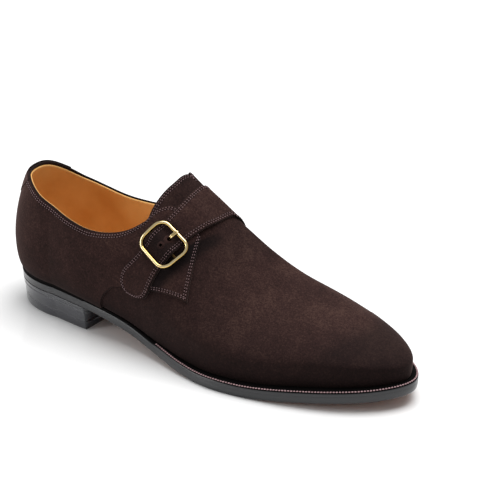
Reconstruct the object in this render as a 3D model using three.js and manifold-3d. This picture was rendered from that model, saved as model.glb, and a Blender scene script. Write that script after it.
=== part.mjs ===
// A monk strap shoe for the right foot, closed, lasted and bottomed piece by piece.
// Millimetres. +X runs from heel to toe, +Y to the inner side of the foot, +Z up from the floor.
import * as THREE from "three";
import { mergeVertices } from "three/addons/utils/BufferGeometryUtils.js";
import Module from "manifold-3d";

const wasm = await Module();
wasm.setup();

// Driving dimensions of the last and the bottom
const LENGTH = 302;
const BALL_WIDTH = 108;
const INSTEP_HEIGHT = 100;
const HEEL_HEIGHT = 17.4;
const HEEL_LENGTH = 73;
const TOE_SPRING = 8.4;
const HEEL_SQUARE = 2.15;
const TOE_SQUARE = 2.05;

// Thicknesses of leather and the clearance between neighbouring pieces
const OUTSOLE_THICKNESS = 5;
const WELT_THICKNESS = 3;
const INSOLE_THICKNESS = 3;
const TOP_LIFT_THICKNESS = 6;
const WALL = 2;
const QUARTER_THICKNESS = 1.4;
const STRAP_THICKNESS = 1.6;
const HEEL_TAB_THICKNESS = 1;
const GAP = 0.3;
const EDGE_STEP = 0.4;
const HEEL_STEP = 1;

// The buckle, its bar, its prong and the tab that holds it
const BUCKLE_LENGTH = 24;
const BUCKLE_WIDTH = 27.4;
const BUCKLE_CORNER = 6;
const FRAME_WIDTH = 2.4;
const FRAME_HEIGHT = 2.2;
const BAR_DIAMETER = 1.6;
const PRONG_ROOT = 0.9;
const PRONG_DIAMETER = 1.4;
const PRONG_SWELL = 0.12;
const TAB_THICKNESS = 0.6;
const TAB_WIDTH = 13;
const TAB_LENGTH = 5;
const HOLE_AT = 5.2;
const HOLE_LENGTH = 3.6;
const HOLE_WIDTH = 2.2;

// Where the round heel ends and the round toe begins, as shares of the length
const HEEL_AXIS = 0.15;
const TOE_AXIS = 0.84;
const TOE_TIP = 0.015;

// Towards the tip of the toe the upper comes closer to the sole's edge and bulges lower down
const TOE_CLOSE = 0.45;
const TOE_LOW = 0.35;

// The tongue's free end stands up from the instep
const TONGUE_FLARE = { rise: 2, from: 0.454, to: 0.415, low: 0.84, high: 0.93 };
const LATERAL = -1;
const MEDIAL = 1;

// Slopes that let cubic pieces join smoothly at each row of a table
function rowSlopes(xs, ys, level) {
  const last = xs.length - 1;
  const step = (i) => (ys[i + 1] - ys[i]) / (xs[i + 1] - xs[i]);
  const slopes = xs.map((x, i) => {
    if (i === 0 || i === last) return 0;
    const before = x - xs[i - 1];
    const after = xs[i + 1] - x;
    return (step(i - 1) * after + step(i) * before) / (before + after);
  });
  if (!level) {
    slopes[0] = 1.5 * step(0) - 0.5 * slopes[1];
    slopes[last] = 1.5 * step(last - 1) - 0.5 * slopes[last - 1];
  }
  return slopes;
}

// A smooth function through the rows; level ends run out flat
function through(xs, ys, level = false) {
  const slopes = rowSlopes(xs, ys, level);
  return (x) => {
    let i = 0;
    while (i < xs.length - 2 && x > xs[i + 1]) i += 1;
    const h = xs[i + 1] - xs[i];
    const t = Math.min(Math.max((x - xs[i]) / h, 0), 1);
    const start = (1 + 2 * t) * (1 - t) ** 2 * ys[i] + t * (1 - t) ** 2 * h * slopes[i];
    const end = t * t * (3 - 2 * t) * ys[i + 1] + t * t * (t - 1) * h * slopes[i + 1];
    return start + end;
  };
}

function table(columns, rows, level = false) {
  const xs = rows.map((row) => row[0]);
  const smooth = (column) => through(xs, rows.map((row) => row[column]), level);
  return Object.fromEntries(columns.slice(1).map((name, i) => [name, smooth(i + 1)]));
}

// Half widths of the sole as shares of the ball width
const SOLE = table(["at", "lateral", "medial"], [
  [0.15, 0.306, 0.316],
  [0.22, 0.330, 0.306],
  [0.30, 0.345, 0.271],
  [0.38, 0.363, 0.247],
  [0.46, 0.415, 0.260],
  [0.54, 0.475, 0.323],
  [0.62, 0.508, 0.405],
  [0.70, 0.489, 0.458],
  [0.77, 0.447, 0.454],
  [0.84, 0.384, 0.400],
]);

// How far the bottom of the foot is lifted by the heel and by the toe spring
const HEEL_RISE = table(["at", "share"], [
  [0.00, 1], [0.12, 1], [0.24, 0.94], [0.34, 0.69], [0.44, 0.333], [0.54, 0.07], [0.60, 0],
], true);
const TOE_RISE = table(["at", "share"], [
  [0.68, 0], [0.72, 0.06], [0.80, 0.33], [0.88, 0.62], [0.95, 0.83], [1.00, 1], [1.04, 1.1],
], true);

// Cross sections of the last: insets, tucks and the ridge's side step are shares of the ball width,
// the widest line and the ridge are shares of the instep height above the welt
const SECTION = table(
  [
    "at", "insetLateral", "insetMedial", "tuckLateral", "tuckMedial",
    "widest", "ridge", "ridgeSide", "square",
  ],
  [
    [0.15, -0.019, -0.019, 0.041, 0.042, 0.205, 0.996, 0.000, 1.75],
    [0.25, -0.023, -0.023, 0.036, 0.046, 0.210, 0.994, 0.020, 1.68],
    [0.35, -0.014, -0.032, 0.028, 0.056, 0.215, 0.965, 0.060, 1.62],
    [0.45, 0.008, -0.019, 0.018, 0.046, 0.205, 0.878, 0.100, 1.58],
    [0.55, 0.035, 0.017, 0.014, 0.028, 0.175, 0.691, 0.155, 1.42],
    [0.65, 0.049, 0.044, 0.014, 0.019, 0.150, 0.520, 0.175, 1.42],
    [0.75, 0.054, 0.054, 0.014, 0.014, 0.140, 0.413, 0.160, 1.60],
    [0.84, 0.054, 0.054, 0.014, 0.014, 0.145, 0.310, 0.125, 1.80],
  ],
);

// The top line of the quarters above the welt, from the back of the heel to the throat
const COLLAR = table(["at", "lateral", "medial"], [
  [-0.02, 0.686, 0.686],
  [0.007, 0.681, 0.681],
  [0.046, 0.654, 0.586],
  [0.073, 0.628, 0.521],
  [0.109, 0.586, 0.476],
  [0.142, 0.558, 0.451],
  [0.205, 0.509, 0.434],
  [0.262, 0.499, 0.463],
  [0.311, 0.535, 0.513],
  [0.358, 0.606, 0.590],
  [0.391, 0.694, 0.671],
]);

// Edges seen from the side: shares of the length along, and of the instep height above the welt
const TONGUE_EDGE = [
  [0.391, 0.694], [0.387, 0.748], [0.389, 0.815], [0.398, 0.887], [0.412, 0.945], [0.420, 1.05],
];
const THROAT_SEAM = [[0.360, 0.640], [0.430, 0.715], [0.490, 0.790], [0.492, 1.05]];
const SIDE_SEAM_LATERAL = [
  [0.299, -0.05], [0.299, 0.028], [0.306, 0.09], [0.325, 0.172], [0.357, 0.239], [0.397, 0.293],
];
const LATERAL_FLAP = {
  bottom: [[0.397, 0.293], [0.440, 0.336], [0.490, 0.371], [0.514, 0.374], [0.532, 0.367]],
  front: [[0.532, 0.367], [0.533, 0.400], [0.526, 0.500], [0.517, 0.606], [0.505, 0.680]],
  top: [[0.505, 0.680], [0.464, 0.775], [0.428, 0.806], [0.408, 0.775], [0.391, 0.694]],
};
const MEDIAL_FLAP = {
  bottom: [[0.397, 0.244], [0.434, 0.279], [0.497, 0.326], [0.520, 0.336]],
  front: [[0.520, 0.336], [0.524, 0.403], [0.531, 0.555], [0.535, 0.650], [0.530, 0.790], [0.530, 1.3]],
  top: [[0.454, 1.3], [0.454, 0.909], [0.449, 0.852], [0.434, 0.784], [0.414, 0.727], [0.391, 0.671]],
};
const STRAP_END = {
  upper: [[0.454, 1.3], [0.454, 0.909], [0.447, 0.846], [0.433, 0.745], [0.400, 0.545], [0.368, 0.398]],
  tip: [[0.368, 0.398], [0.363, 0.330], [0.370, 0.256], [0.391, 0.243], [0.427, 0.285], [0.442, 0.370]],
  lower: [[0.442, 0.370], [0.457, 0.500], [0.490, 0.678], [0.508, 0.745], [0.530, 0.790], [0.530, 1.3]],
};
const SIDE_SEAM_MEDIAL = [
  [0.299, -0.05], [0.300, 0.02], [0.315, 0.107], [0.331, 0.15], [0.358, 0.19], [0.397, 0.244],
];
const HEEL_TAB_EDGE = [[-0.04, 0.50], [0.004, 0.50], [0.028, 0.53], [0.040, 0.58], [0.044, 0.63]];
const STRAP_CLIMB = { start: 5, end: -5, from: 0.3 };
const QUARTER_TIP = { from: 0.425, ridgeClear: 9 };
const STRAP_ROOT = { from: 0.398, ridgeAt: 0.49 };
const BUCKLE_PLACE = { at: 0.4435, up: 0.603, along: [0.487, 0.660] };

// Height of the welt's top face, where the upper meets the bottom
function seat(at) {
  const rise = HEEL_HEIGHT * HEEL_RISE.share(at) + TOE_SPRING * TOE_RISE.share(at);
  return OUTSOLE_THICKNESS + WELT_THICKNESS + rise;
}

// The sole's edge along one side: s runs 0 to 1 round the heel, to 2 along the side, to 3 round the toe
function soleEdge(side, s) {
  const width = side === MEDIAL ? SOLE.medial : SOLE.lateral;
  const heelEnd = HEEL_AXIS * LENGTH;
  const toeStart = TOE_AXIS * LENGTH;
  if (s < 1) {
    const turn = (s * Math.PI) / 2;
    const x = heelEnd * (1 - Math.cos(turn) ** (2 / HEEL_SQUARE));
    return [x, side * width(HEEL_AXIS) * BALL_WIDTH * Math.sin(turn) ** (2 / HEEL_SQUARE)];
  }
  if (s <= 2) {
    const at = HEEL_AXIS + (s - 1) * (TOE_AXIS - HEEL_AXIS);
    return [at * LENGTH, side * width(at) * BALL_WIDTH];
  }
  const turn = ((s - 2) * Math.PI) / 2;
  const reach = LENGTH - toeStart;
  const small = 0.001;
  const taper = ((width(TOE_AXIS) - width(TOE_AXIS - small)) * BALL_WIDTH) / (small * LENGTH);
  const centre = side * TOE_TIP * BALL_WIDTH - taper * reach;
  const across = Math.abs(Math.cos(turn)) ** (2 / TOE_SQUARE);
  const ahead = Math.sin(turn) ** (2 / TOE_SQUARE);
  const y = centre + (width(TOE_AXIS) * BALL_WIDTH - centre) * across + taper * reach * ahead;
  return [toeStart + reach * ahead, side * y];
}

function soleNormal(side, s) {
  if (s <= 0) return [-1, 0];
  if (s >= 3) return [1, 0];
  const small = 0.002;
  const before = soleEdge(side, Math.max(s - small, 0));
  const after = soleEdge(side, Math.min(s + small, 3));
  const along = [after[0] - before[0], after[1] - before[1]];
  const size = Math.hypot(along[0], along[1]);
  return [(-side * along[1]) / size, (side * along[0]) / size];
}

// Everything that one cross section of the last needs
function rib(side, s) {
  const edge = soleEdge(side, s);
  const out = soleNormal(side, s);
  const at = Math.min(Math.max(edge[0] / LENGTH, HEEL_AXIS), TOE_AXIS);
  const tip = ease(s, 2, 3);
  const sideInset = side === MEDIAL ? SECTION.insetMedial(at) : SECTION.insetLateral(at);
  const inset = BALL_WIDTH * sideInset * (1 - TOE_CLOSE * tip);
  const tuck = BALL_WIDTH * (side === MEDIAL ? SECTION.tuckMedial(at) : SECTION.tuckLateral(at));
  const top = (place) => seat(place) + SECTION.ridge(place) * INSTEP_HEIGHT;
  const small = 0.002;
  const inward = s < 1 ? at + small : at - small;
  const base = seat(edge[0] / LENGTH);
  return {
    edge,
    out,
    inset,
    tuck,
    base,
    wide: [edge[0] - inset * out[0], edge[1] - inset * out[1]],
    feather: [edge[0] - (inset + tuck) * out[0], edge[1] - (inset + tuck) * out[1]],
    widest: base + SECTION.widest(at) * INSTEP_HEIGHT * (1 - TOE_LOW * tip),
    pole: [at * LENGTH, SECTION.ridgeSide(at) * BALL_WIDTH, top(at)],
    slope: (top(at) - top(inward)) / ((at - inward) * LENGTH),
    fan: s < 1 || s > 2,
    square: SECTION.square(at),
  };
}

// A point of the last on a rib: v 0 is the feather line, LOWER the widest line and 1 the ridge
const LOWER = 0.2;
function lastPoint(section, v) {
  const { feather, wide, pole, base, widest } = section;
  if (v <= LOWER) {
    const turn = ((v / LOWER) * Math.PI) / 2;
    const out = Math.sin(turn);
    const x = feather[0] + (wide[0] - feather[0]) * out;
    const y = feather[1] + (wide[1] - feather[1]) * out;
    return [x, y, base + (widest - base) * (1 - Math.cos(turn))];
  }
  const turn = (((v - LOWER) / (1 - LOWER)) * Math.PI) / 2;
  const out = Math.max(Math.cos(turn), 0) ** (2 / section.square);
  const up = Math.sin(turn) ** (2 / section.square);
  const tilt = section.fan ? section.slope * (wide[0] - pole[0]) : 0;
  const x = pole[0] + (wide[0] - pole[0]) * out;
  const y = pole[1] + (wide[1] - pole[1]) * out;
  return [x, y, widest - tilt + tilt * out + (pole[2] - widest + tilt) * up];
}

// The point of the last at a place seen from the side, with its outward normal
function skinDepth(side, x, z) {
  let at = x / LENGTH;
  let y = 0;
  for (let turn = 0; turn < 6; turn += 1) {
    const section = rib(side, 1 + (at - HEEL_AXIS) / (TOE_AXIS - HEEL_AXIS));
    const up = Math.min(Math.max((z - section.widest) / (section.pole[2] - section.widest), 0), 0.9999);
    const out = (1 - up ** section.square) ** (1 / section.square);
    y = section.pole[1] + (section.wide[1] - section.pole[1]) * out;
    at += (x - section.pole[0] - (section.wide[0] - section.pole[0]) * out) / LENGTH;
  }
  return y;
}

function skinFrame(side, x, z) {
  const step = 0.5;
  const alongX = (skinDepth(side, x + step, z) - skinDepth(side, x - step, z)) / (2 * step);
  const alongZ = (skinDepth(side, x, z + step) - skinDepth(side, x, z - step)) / (2 * step);
  const normal = new THREE.Vector3(-alongX, 1, -alongZ).multiplyScalar(side).normalize();
  return { point: new THREE.Vector3(x, skinDepth(side, x, z), z), normal };
}

// Closed solids from points and triangles
function solidFrom(points, faces) {
  const geometry = new THREE.BufferGeometry();
  geometry.setAttribute("position", new THREE.Float32BufferAttribute(points.flat(), 3));
  geometry.setIndex(faces.flat());
  return solidOf(geometry);
}

function solidOf(source) {
  const bare = source.clone();
  bare.deleteAttribute("normal");
  bare.deleteAttribute("uv");
  const merged = mergeVertices(bare, 1e-4);
  const corners = Array.from(merged.index.array);
  const kept = [];
  for (let i = 0; i < corners.length; i += 3) {
    const [a, b, c] = corners.slice(i, i + 3);
    if (a !== b && b !== c && c !== a) kept.push(a, b, c);
  }
  const position = Float32Array.from(merged.attributes.position.array);
  if (signedVolume(position, kept) < 0) kept.reverse();
  return new wasm.Manifold(new wasm.Mesh({
    numProp: 3,
    vertProperties: position,
    triVerts: Uint32Array.from(kept),
  }));
}

function signedVolume(position, corners) {
  let volume = 0;
  for (let i = 0; i < corners.length; i += 3) {
    const [a, b, c] = [0, 1, 2].map((k) => new THREE.Vector3().fromArray(position, corners[i + k] * 3));
    volume += a.dot(b.cross(c)) / 6;
  }
  return volume;
}

function blend(from, to, count) {
  return Array.from({ length: count }, (unused, i) => from + ((to - from) * i) / count);
}

// Stations along the last and rows up its side: the close set is for the strap
const midShare = (at) => 1 + (at - HEEL_AXIS) / (TOE_AXIS - HEEL_AXIS);
const OPEN_STATIONS = [
  ...blend(0, 1, 7),
  ...blend(1, midShare(0.30), 5),
  ...blend(midShare(0.30), midShare(0.58), 11),
  ...blend(midShare(0.58), 2, 8),
  ...blend(2, 3, 7),
  3,
];
const CLOSE_STATIONS = [
  ...blend(0, 1, 7),
  ...blend(1, midShare(0.36), 7),
  ...blend(midShare(0.36), midShare(0.40), 3),
  ...blend(midShare(0.40), midShare(0.49), 9),
  ...blend(midShare(0.49), midShare(0.55), 3),
  ...blend(midShare(0.55), 2, 2),
  ...blend(2, 3, 2),
  3,
];
const OPEN_ROWS = [0, 0.1, ...blend(LOWER, 1, 8)];
const CLOSE_ROWS = [0, 0.1, ...blend(LOWER, 0.46, 4), ...blend(0.46, 0.74, 9), ...blend(0.74, 1, 4)];
const FOOT_DROP = 6;

// The last grown outwards by a lift, dropped below its feather line and closed underneath
function lastSolid(lift, stations = OPEN_STATIONS, rows = OPEN_ROWS) {
  const liftAt = typeof lift === "function" ? lift : () => lift;
  const count = stations.length;
  const medial = stations.map((s) => rib(MEDIAL, s));
  const lateral = stations.map((s) => rib(LATERAL, s));
  const loop = [...medial, ...lateral.slice(1, -1).reverse()];
  const stationOf = (k) => (k < count ? k : 2 * count - 2 - k);
  const bare = rows.map((v) => loop.map((section) => new THREE.Vector3(...lastPoint(section, v))));
  const ridge = medial.map((section) => new THREE.Vector3(...section.pole));
  const around = loop.length;
  const skin = bare.map((row, r) => row.map((point, k) => {
    const along = row[(k + 1) % around].clone().sub(row[(k + around - 1) % around]);
    const above = r + 1 < rows.length ? bare[r + 1][k] : ridge[stationOf(k)];
    const below = r > 0 ? bare[r - 1][k] : point;
    const normal = along.cross(above.clone().sub(below)).normalize().negate();
    return point.clone().addScaledVector(normal, liftAt(point));
  }));
  const crown = ridge.map((point, i) => {
    const normal = new THREE.Vector3(-medial[i].slope, 0, 1).normalize();
    return point.clone().addScaledVector(normal, liftAt(point));
  });
  const foot = skin[0].map((point) => new THREE.Vector3(point.x, point.y, point.z - FOOT_DROP));
  const layers = [foot, ...skin];
  const points = [...layers.flat(), ...crown].map((point) => point.toArray());
  const top = layers.length * around;
  const faces = [];
  for (let r = 0; r < layers.length; r += 1) {
    for (let k = 0; k < around; k += 1) {
      const next = (k + 1) % around;
      const last = r === layers.length - 1;
      const here = last ? top + stationOf(k) : (r + 1) * around + k;
      const beside = last ? top + stationOf(next) : (r + 1) * around + next;
      faces.push([r * around + k, r * around + next, beside], [r * around + k, beside, here]);
    }
  }
  for (let i = 0; i < count - 1; i += 1) {
    const far = (2 * count - 2 - i) % around;
    const farNext = 2 * count - 3 - i;
    faces.push([i, farNext, i + 1], [i, far, farNext]);
  }
  return solidFrom(points, faces);
}

// Prisms: outlines seen from the side run along Y, outlines seen from above run along Z
function sidePrism(outline, from, to) {
  const shape = new THREE.Shape(outline.map(([x, z]) => new THREE.Vector2(x, z)));
  const geometry = new THREE.ExtrudeGeometry(shape, { depth: to - from, bevelEnabled: false });
  geometry.rotateX(Math.PI / 2);
  geometry.translate(0, to, 0);
  return solidOf(geometry);
}

const REACH = BALL_WIDTH;
const TALL = INSTEP_HEIGHT * 2;

function planPrism(inset) {
  const sides = [MEDIAL, LATERAL].map((side) => OPEN_STATIONS.map((s) => rib(side, s)));
  const loop = [...sides[0], ...sides[1].slice(1, -1).reverse()];
  const shape = new THREE.Shape(loop.map((section) => {
    const distance = inset(section);
    const [x, y] = section.edge;
    return new THREE.Vector2(x - section.out[0] * distance, y - section.out[1] * distance);
  }));
  return solidOf(new THREE.ExtrudeGeometry(shape, { depth: TALL, bevelEnabled: false }));
}

function block(x0, x1, y0, y1, z0, z1) {
  const geometry = new THREE.BoxGeometry(x1 - x0, y1 - y0, z1 - z0);
  geometry.translate((x0 + x1) / 2, (y0 + y1) / 2, (z0 + z1) / 2);
  return solidOf(geometry);
}

// A band of the bottom between two heights measured from the welt's top face
const BAND_STEPS = [
  ...blend(-0.04, 0.24, 6),
  ...blend(0.24, 0.30, 3),
  ...blend(0.30, 0.60, 10),
  0.60,
  ...blend(0.68, 1.04, 14),
  1.04,
];
function bottomBand(low, high) {
  const line = (lift) => BAND_STEPS.map((at) => [at * LENGTH, seat(at) + lift]);
  return sidePrism([...line(low), ...line(high).reverse()], -REACH, REACH);
}

// Places seen from the side, turned from shares into millimetres
const place = ([at, up]) => [at * LENGTH, seat(at) + up * INSTEP_HEIGHT];

function smoothEdge(rows, steps = 4) {
  const curve = new THREE.SplineCurve(rows.map((row) => new THREE.Vector2(...row)));
  return curve.getPoints((rows.length - 1) * steps).map((point) => place([point.x, point.y]));
}

function collarLine(side, from = -0.02, to = 0.391) {
  const height = side === MEDIAL ? COLLAR.medial : COLLAR.lateral;
  return [...blend(from, to, 22), to].map((at) => place([at, height(at)]));
}

// The welt, rand and insole take their inner edges from the feather line
const featherInset = (section) => section.inset + section.tuck;

function outsole() {
  const depth = OUTSOLE_THICKNESS + WELT_THICKNESS;
  return planPrism(() => EDGE_STEP).intersect(bottomBand(-depth, -WELT_THICKNESS));
}

function seatRing() {
  const ring = planPrism(() => 0).subtract(planPrism((section) => featherInset(section) + WALL - GAP));
  return ring.intersect(bottomBand(GAP - WELT_THICKNESS, 0));
}

function welt() {
  return seatRing().intersect(block(HEEL_LENGTH + GAP, LENGTH + REACH, -REACH, REACH, 0, TALL));
}

function heelRand() {
  return seatRing().intersect(block(-REACH, HEEL_LENGTH, -REACH, REACH, 0, TALL));
}

function insole() {
  const outline = planPrism((section) => featherInset(section) + WALL + GAP);
  return outline.intersect(bottomBand(GAP - WELT_THICKNESS, GAP - WELT_THICKNESS + INSOLE_THICKNESS));
}

function heelBlock() {
  return planPrism(() => HEEL_STEP).intersect(block(-REACH, HEEL_LENGTH, -REACH, REACH, 0, TALL));
}

function topLift() {
  return heelBlock().intersect(block(-REACH, LENGTH, -REACH, REACH, -1, TOP_LIFT_THICKNESS));
}

function heelStack() {
  const depth = OUTSOLE_THICKNESS + WELT_THICKNESS + GAP;
  const heelSteps = BAND_STEPS.filter((at) => at * LENGTH < HEEL_LENGTH + WALL);
  const line = heelSteps.map((at) => [at * LENGTH, seat(at) - depth]);
  const floor = TOP_LIFT_THICKNESS;
  const under = sidePrism([[line[0][0], floor], ...line, [line.at(-1)[0], floor]], -REACH, REACH);
  return heelBlock().intersect(under);
}

// Everything above a height over the welt
function aboveWelt(lift) {
  const line = BAND_STEPS.map((at) => [at * LENGTH, seat(at) + lift]);
  return sidePrism([...line, [LENGTH + REACH, TALL], [-REACH, TALL]], -REACH, REACH);
}

// The mouth of the shoe: the foot's opening behind the tongue, lower on the inner side
function mouth() {
  const tongue = smoothEdge(TONGUE_EDGE);
  const roof = [[TONGUE_EDGE.at(-1)[0] * LENGTH, TALL], [-REACH, TALL]];
  const half = (side, from, to) => {
    const collar = collarLine(side);
    return sidePrism([[-REACH, collar[0][1]], ...collar, ...tongue, ...roof], from, to);
  };
  return half(LATERAL, -REACH, 0).add(half(MEDIAL, 0, REACH));
}

// The tongue's place in the upper: the region over the throat seam
function throat(grow) {
  const seam = smoothEdge(THROAT_SEAM).map(([x, z]) => [x + grow, z - grow]);
  const back = THROAT_SEAM[0][0] * LENGTH;
  return sidePrism([[back, seam[0][1]], ...seam, [seam.at(-1)[0], TALL], [back, TALL]], -REACH, REACH);
}

function upper() {
  const hollow = lastSolid(0).subtract(lastSolid(-WALL));
  return largest(hollow.intersect(aboveWelt(GAP)).subtract(mouth()).subtract(throat(GAP)));
}

function flare(point) {
  const { rise, from, to, low, high } = TONGUE_FLARE;
  const up = (point.z - seat(point.x / LENGTH)) / INSTEP_HEIGHT;
  return rise * (1 - ease(point.x / LENGTH, to, from)) * ease(up, low, high);
}

function tongue() {
  const shell = lastSolid(flare).subtract(lastSolid((point) => flare(point) - WALL));
  return largest(shell.intersect(throat(0)).subtract(mouth()));
}

// Overlays: leather of a given thickness laid over the last at a lift
function overlay(lift, thickness, stations, rows) {
  const low = typeof lift === "function" ? lift : () => lift;
  const outer = lastSolid((point) => low(point) + thickness, stations, rows);
  return outer.subtract(lastSolid(low, stations, rows)).intersect(aboveWelt(GAP));
}

function quarterOutline(side, seamRows, flap) {
  return [
    [-REACH, 0],
    [place(seamRows[0])[0], 0],
    ...smoothEdge(seamRows).slice(1),
    ...smoothEdge(flap.bottom).slice(1),
    ...smoothEdge(flap.front).slice(1),
    ...smoothEdge(flap.top).slice(1),
    ...collarLine(side).reverse().slice(1),
    [-REACH, collarLine(side)[0][1]],
  ];
}

function lateralQuarter() {
  const outline = sidePrism(quarterOutline(LATERAL, SIDE_SEAM_LATERAL, LATERAL_FLAP), -REACH, -GAP / 2);
  const ridge = block(QUARTER_TIP.from * LENGTH, LENGTH, -QUARTER_TIP.ridgeClear, REACH, 0, TALL);
  return largest(overlay(GAP, QUARTER_THICKNESS).intersect(outline).subtract(ridge));
}

// The buckle sits on a small frame of its own: along the strap towards the ridge, across it, and out
const BUCKLE = (() => {
  const [x, z] = place([BUCKLE_PLACE.at, BUCKLE_PLACE.up]);
  const { point, normal } = skinFrame(LATERAL, x, z);
  const [dx, dz] = BUCKLE_PLACE.along;
  const along = new THREE.Vector3(dx, -(normal.x * dx + normal.z * dz) / normal.y, dz).normalize();
  const across = new THREE.Vector3().crossVectors(normal, along).normalize();
  return { point, normal, along, across };
})();
const BAR_SPACING = (BUCKLE_LENGTH - FRAME_WIDTH) / 2;
const SIDE_SPACING = (BUCKLE_WIDTH - FRAME_WIDTH) / 2;
const QUARTER_TOP = GAP + QUARTER_THICKNESS;
const STRAP_LIFT = QUARTER_TOP + GAP;
const TAB_TOP = STRAP_LIFT + TAB_THICKNESS;
const BAR_LIFT = TAB_TOP + GAP + PRONG_ROOT / 2 + BAR_DIAMETER / 2 - 0.25;
const STRAP_RISE = BAR_LIFT + BAR_DIAMETER / 2 + 2 * GAP - STRAP_LIFT;
const FRAME_LIFT = STRAP_LIFT + STRAP_THICKNESS + 2 * GAP + FRAME_HEIGHT / 2;
const RISE_HALF = BAR_SPACING - FRAME_WIDTH;

// A place on the buckle's own frame, at a lift over the last
function buckleSpot(along, across, lift) {
  const spot = BUCKLE.point.clone();
  spot.addScaledVector(BUCKLE.along, along).addScaledVector(BUCKLE.across, across);
  for (let turn = 0; turn < 4; turn += 1) {
    const away = spot.y - skinDepth(LATERAL, spot.x, spot.z);
    spot.addScaledVector(BUCKLE.normal, -away * BUCKLE.normal.y);
  }
  const { normal } = skinFrame(LATERAL, spot.x, spot.z);
  return { point: spot.addScaledVector(normal, lift), normal };
}

function ease(value, from, to) {
  const t = Math.min(Math.max((value - from) / (to - from), 0), 1);
  return t * t * (3 - 2 * t);
}

// The strap climbs from the last onto the outer quarter, and arches over the buckle's bar
function strapLift(point) {
  if (point.x < STRAP_CLIMB.from * LENGTH) return GAP;
  const climb = GAP + (STRAP_LIFT - GAP) * ease(point.y, STRAP_CLIMB.start, STRAP_CLIMB.end);
  const offset = point.clone().sub(BUCKLE.point);
  const along = offset.dot(BUCKLE.along);
  if (Math.abs(along) > RISE_HALF || Math.abs(offset.dot(BUCKLE.across)) > BUCKLE_WIDTH) return climb;
  return climb + STRAP_RISE * Math.cos((Math.PI * along) / (2 * RISE_HALF)) ** 2;
}

function medialQuarterAndStrap() {
  const ridge = SECTION.ridgeSide(STRAP_ROOT.ridgeAt) * BALL_WIDTH;
  const inner = sidePrism(quarterOutline(MEDIAL, SIDE_SEAM_MEDIAL, MEDIAL_FLAP), GAP / 2, REACH);
  const outerFront = block(STRAP_ROOT.from * LENGTH, LENGTH, -REACH, ridge, 0, TALL);
  const strapOutline = [
    ...smoothEdge(STRAP_END.upper),
    ...smoothEdge(STRAP_END.tip).slice(1),
    ...smoothEdge(STRAP_END.lower).slice(1),
  ];
  const strap = sidePrism(strapOutline, -REACH, ridge);
  const leather = overlay(strapLift, STRAP_THICKNESS, CLOSE_STATIONS, CLOSE_ROWS);
  const slot = new THREE.BoxGeometry(HOLE_LENGTH, HOLE_WIDTH, BUCKLE_WIDTH / 2);
  const basis = new THREE.Matrix4().makeBasis(BUCKLE.along, BUCKLE.across, BUCKLE.normal);
  slot.applyMatrix4(basis.setPosition(BUCKLE.point.clone().addScaledVector(BUCKLE.along, HOLE_AT)));
  const body = leather.intersect(inner.subtract(outerFront).add(strap));
  return largest(body.subtract(solidOf(slot)));
}

function heelTab() {
  const [first, last] = [HEEL_TAB_EDGE[0][0], HEEL_TAB_EDGE.at(-1)[0]];
  const outline = [...smoothEdge(HEEL_TAB_EDGE), ...collarLine(LATERAL, first, last).reverse()];
  const leather = overlay(GAP + STRAP_THICKNESS + GAP, HEEL_TAB_THICKNESS);
  return largest(leather.intersect(sidePrism(outline, -REACH, REACH)));
}

// A bar swept along spots, each with a point and an outward normal
function sweep(spots, section, closed, across) {
  const count = spots.length;
  const rings = spots.map(({ point, normal }, i) => {
    const before = spots[closed ? (i + count - 1) % count : Math.max(i - 1, 0)].point;
    const after = spots[closed ? (i + 1) % count : Math.min(i + 1, count - 1)].point;
    const tangent = after.clone().sub(before).normalize();
    const side = across || new THREE.Vector3().crossVectors(tangent, normal).normalize();
    const up = new THREE.Vector3().crossVectors(side, tangent).normalize();
    const corner = (w, h) => point.clone().addScaledVector(side, w).addScaledVector(up, h);
    return section(i).map(([w, h]) => corner(w, h).toArray());
  });
  const sides = rings[0].length;
  const faces = [];
  const last = closed ? count : count - 1;
  for (let i = 0; i < last; i += 1) {
    const next = (i + 1) % count;
    for (let k = 0; k < sides; k += 1) {
      const turn = (k + 1) % sides;
      faces.push([i * sides + k, next * sides + k, next * sides + turn]);
      faces.push([i * sides + k, next * sides + turn, i * sides + turn]);
    }
  }
  if (!closed) {
    for (let k = 1; k < sides - 1; k += 1) {
      faces.push([0, k, k + 1]);
      faces.push([(count - 1) * sides, (count - 1) * sides + k + 1, (count - 1) * sides + k]);
    }
  }
  return solidFrom(rings.flat(), faces);
}

function roundSection(radius, sides = 8) {
  return blend(0, 2 * Math.PI, sides).map((turn) => [radius * Math.cos(turn), radius * Math.sin(turn)]);
}

// Half-round wire: flat underneath, domed on top
function halfRound() {
  const dome = [...blend(0, Math.PI, 6), Math.PI];
  return dome.map((turn) => [
    (FRAME_WIDTH / 2) * Math.cos(turn),
    FRAME_HEIGHT * Math.sin(turn) - FRAME_HEIGHT / 2,
  ]);
}

function buckleFrame() {
  const ahead = BAR_SPACING - BUCKLE_CORNER;
  const aside = SIDE_SPACING - BUCKLE_CORNER;
  const corners = [[1, 1], [-1, 1], [-1, -1], [1, -1]];
  const path = corners.flatMap(([a, b], i) => {
    const start = (i * Math.PI) / 2;
    const turns = [...blend(0, Math.PI / 2, 6), Math.PI / 2];
    const round = turns.map((turn) => [
      a * ahead + BUCKLE_CORNER * Math.cos(start + turn),
      b * aside + BUCKLE_CORNER * Math.sin(start + turn),
    ]);
    const [x, y] = round.at(-1);
    const [nextA, nextB] = corners[(i + 1) % 4];
    return [...round, [x + ((nextA - a) * ahead) / 2, y + ((nextB - b) * aside) / 2]];
  });
  const ring = sweep(path.map(([a, b]) => buckleSpot(a, b, FRAME_LIFT)), halfRound, true);
  const ends = [...blend(-SIDE_SPACING, SIDE_SPACING, 6), SIDE_SPACING];
  const bar = sweep(ends.map((b) => buckleSpot(0, b, BAR_LIFT)), () => roundSection(BAR_DIAMETER / 2), false);
  return ring.add(bar);
}

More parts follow.
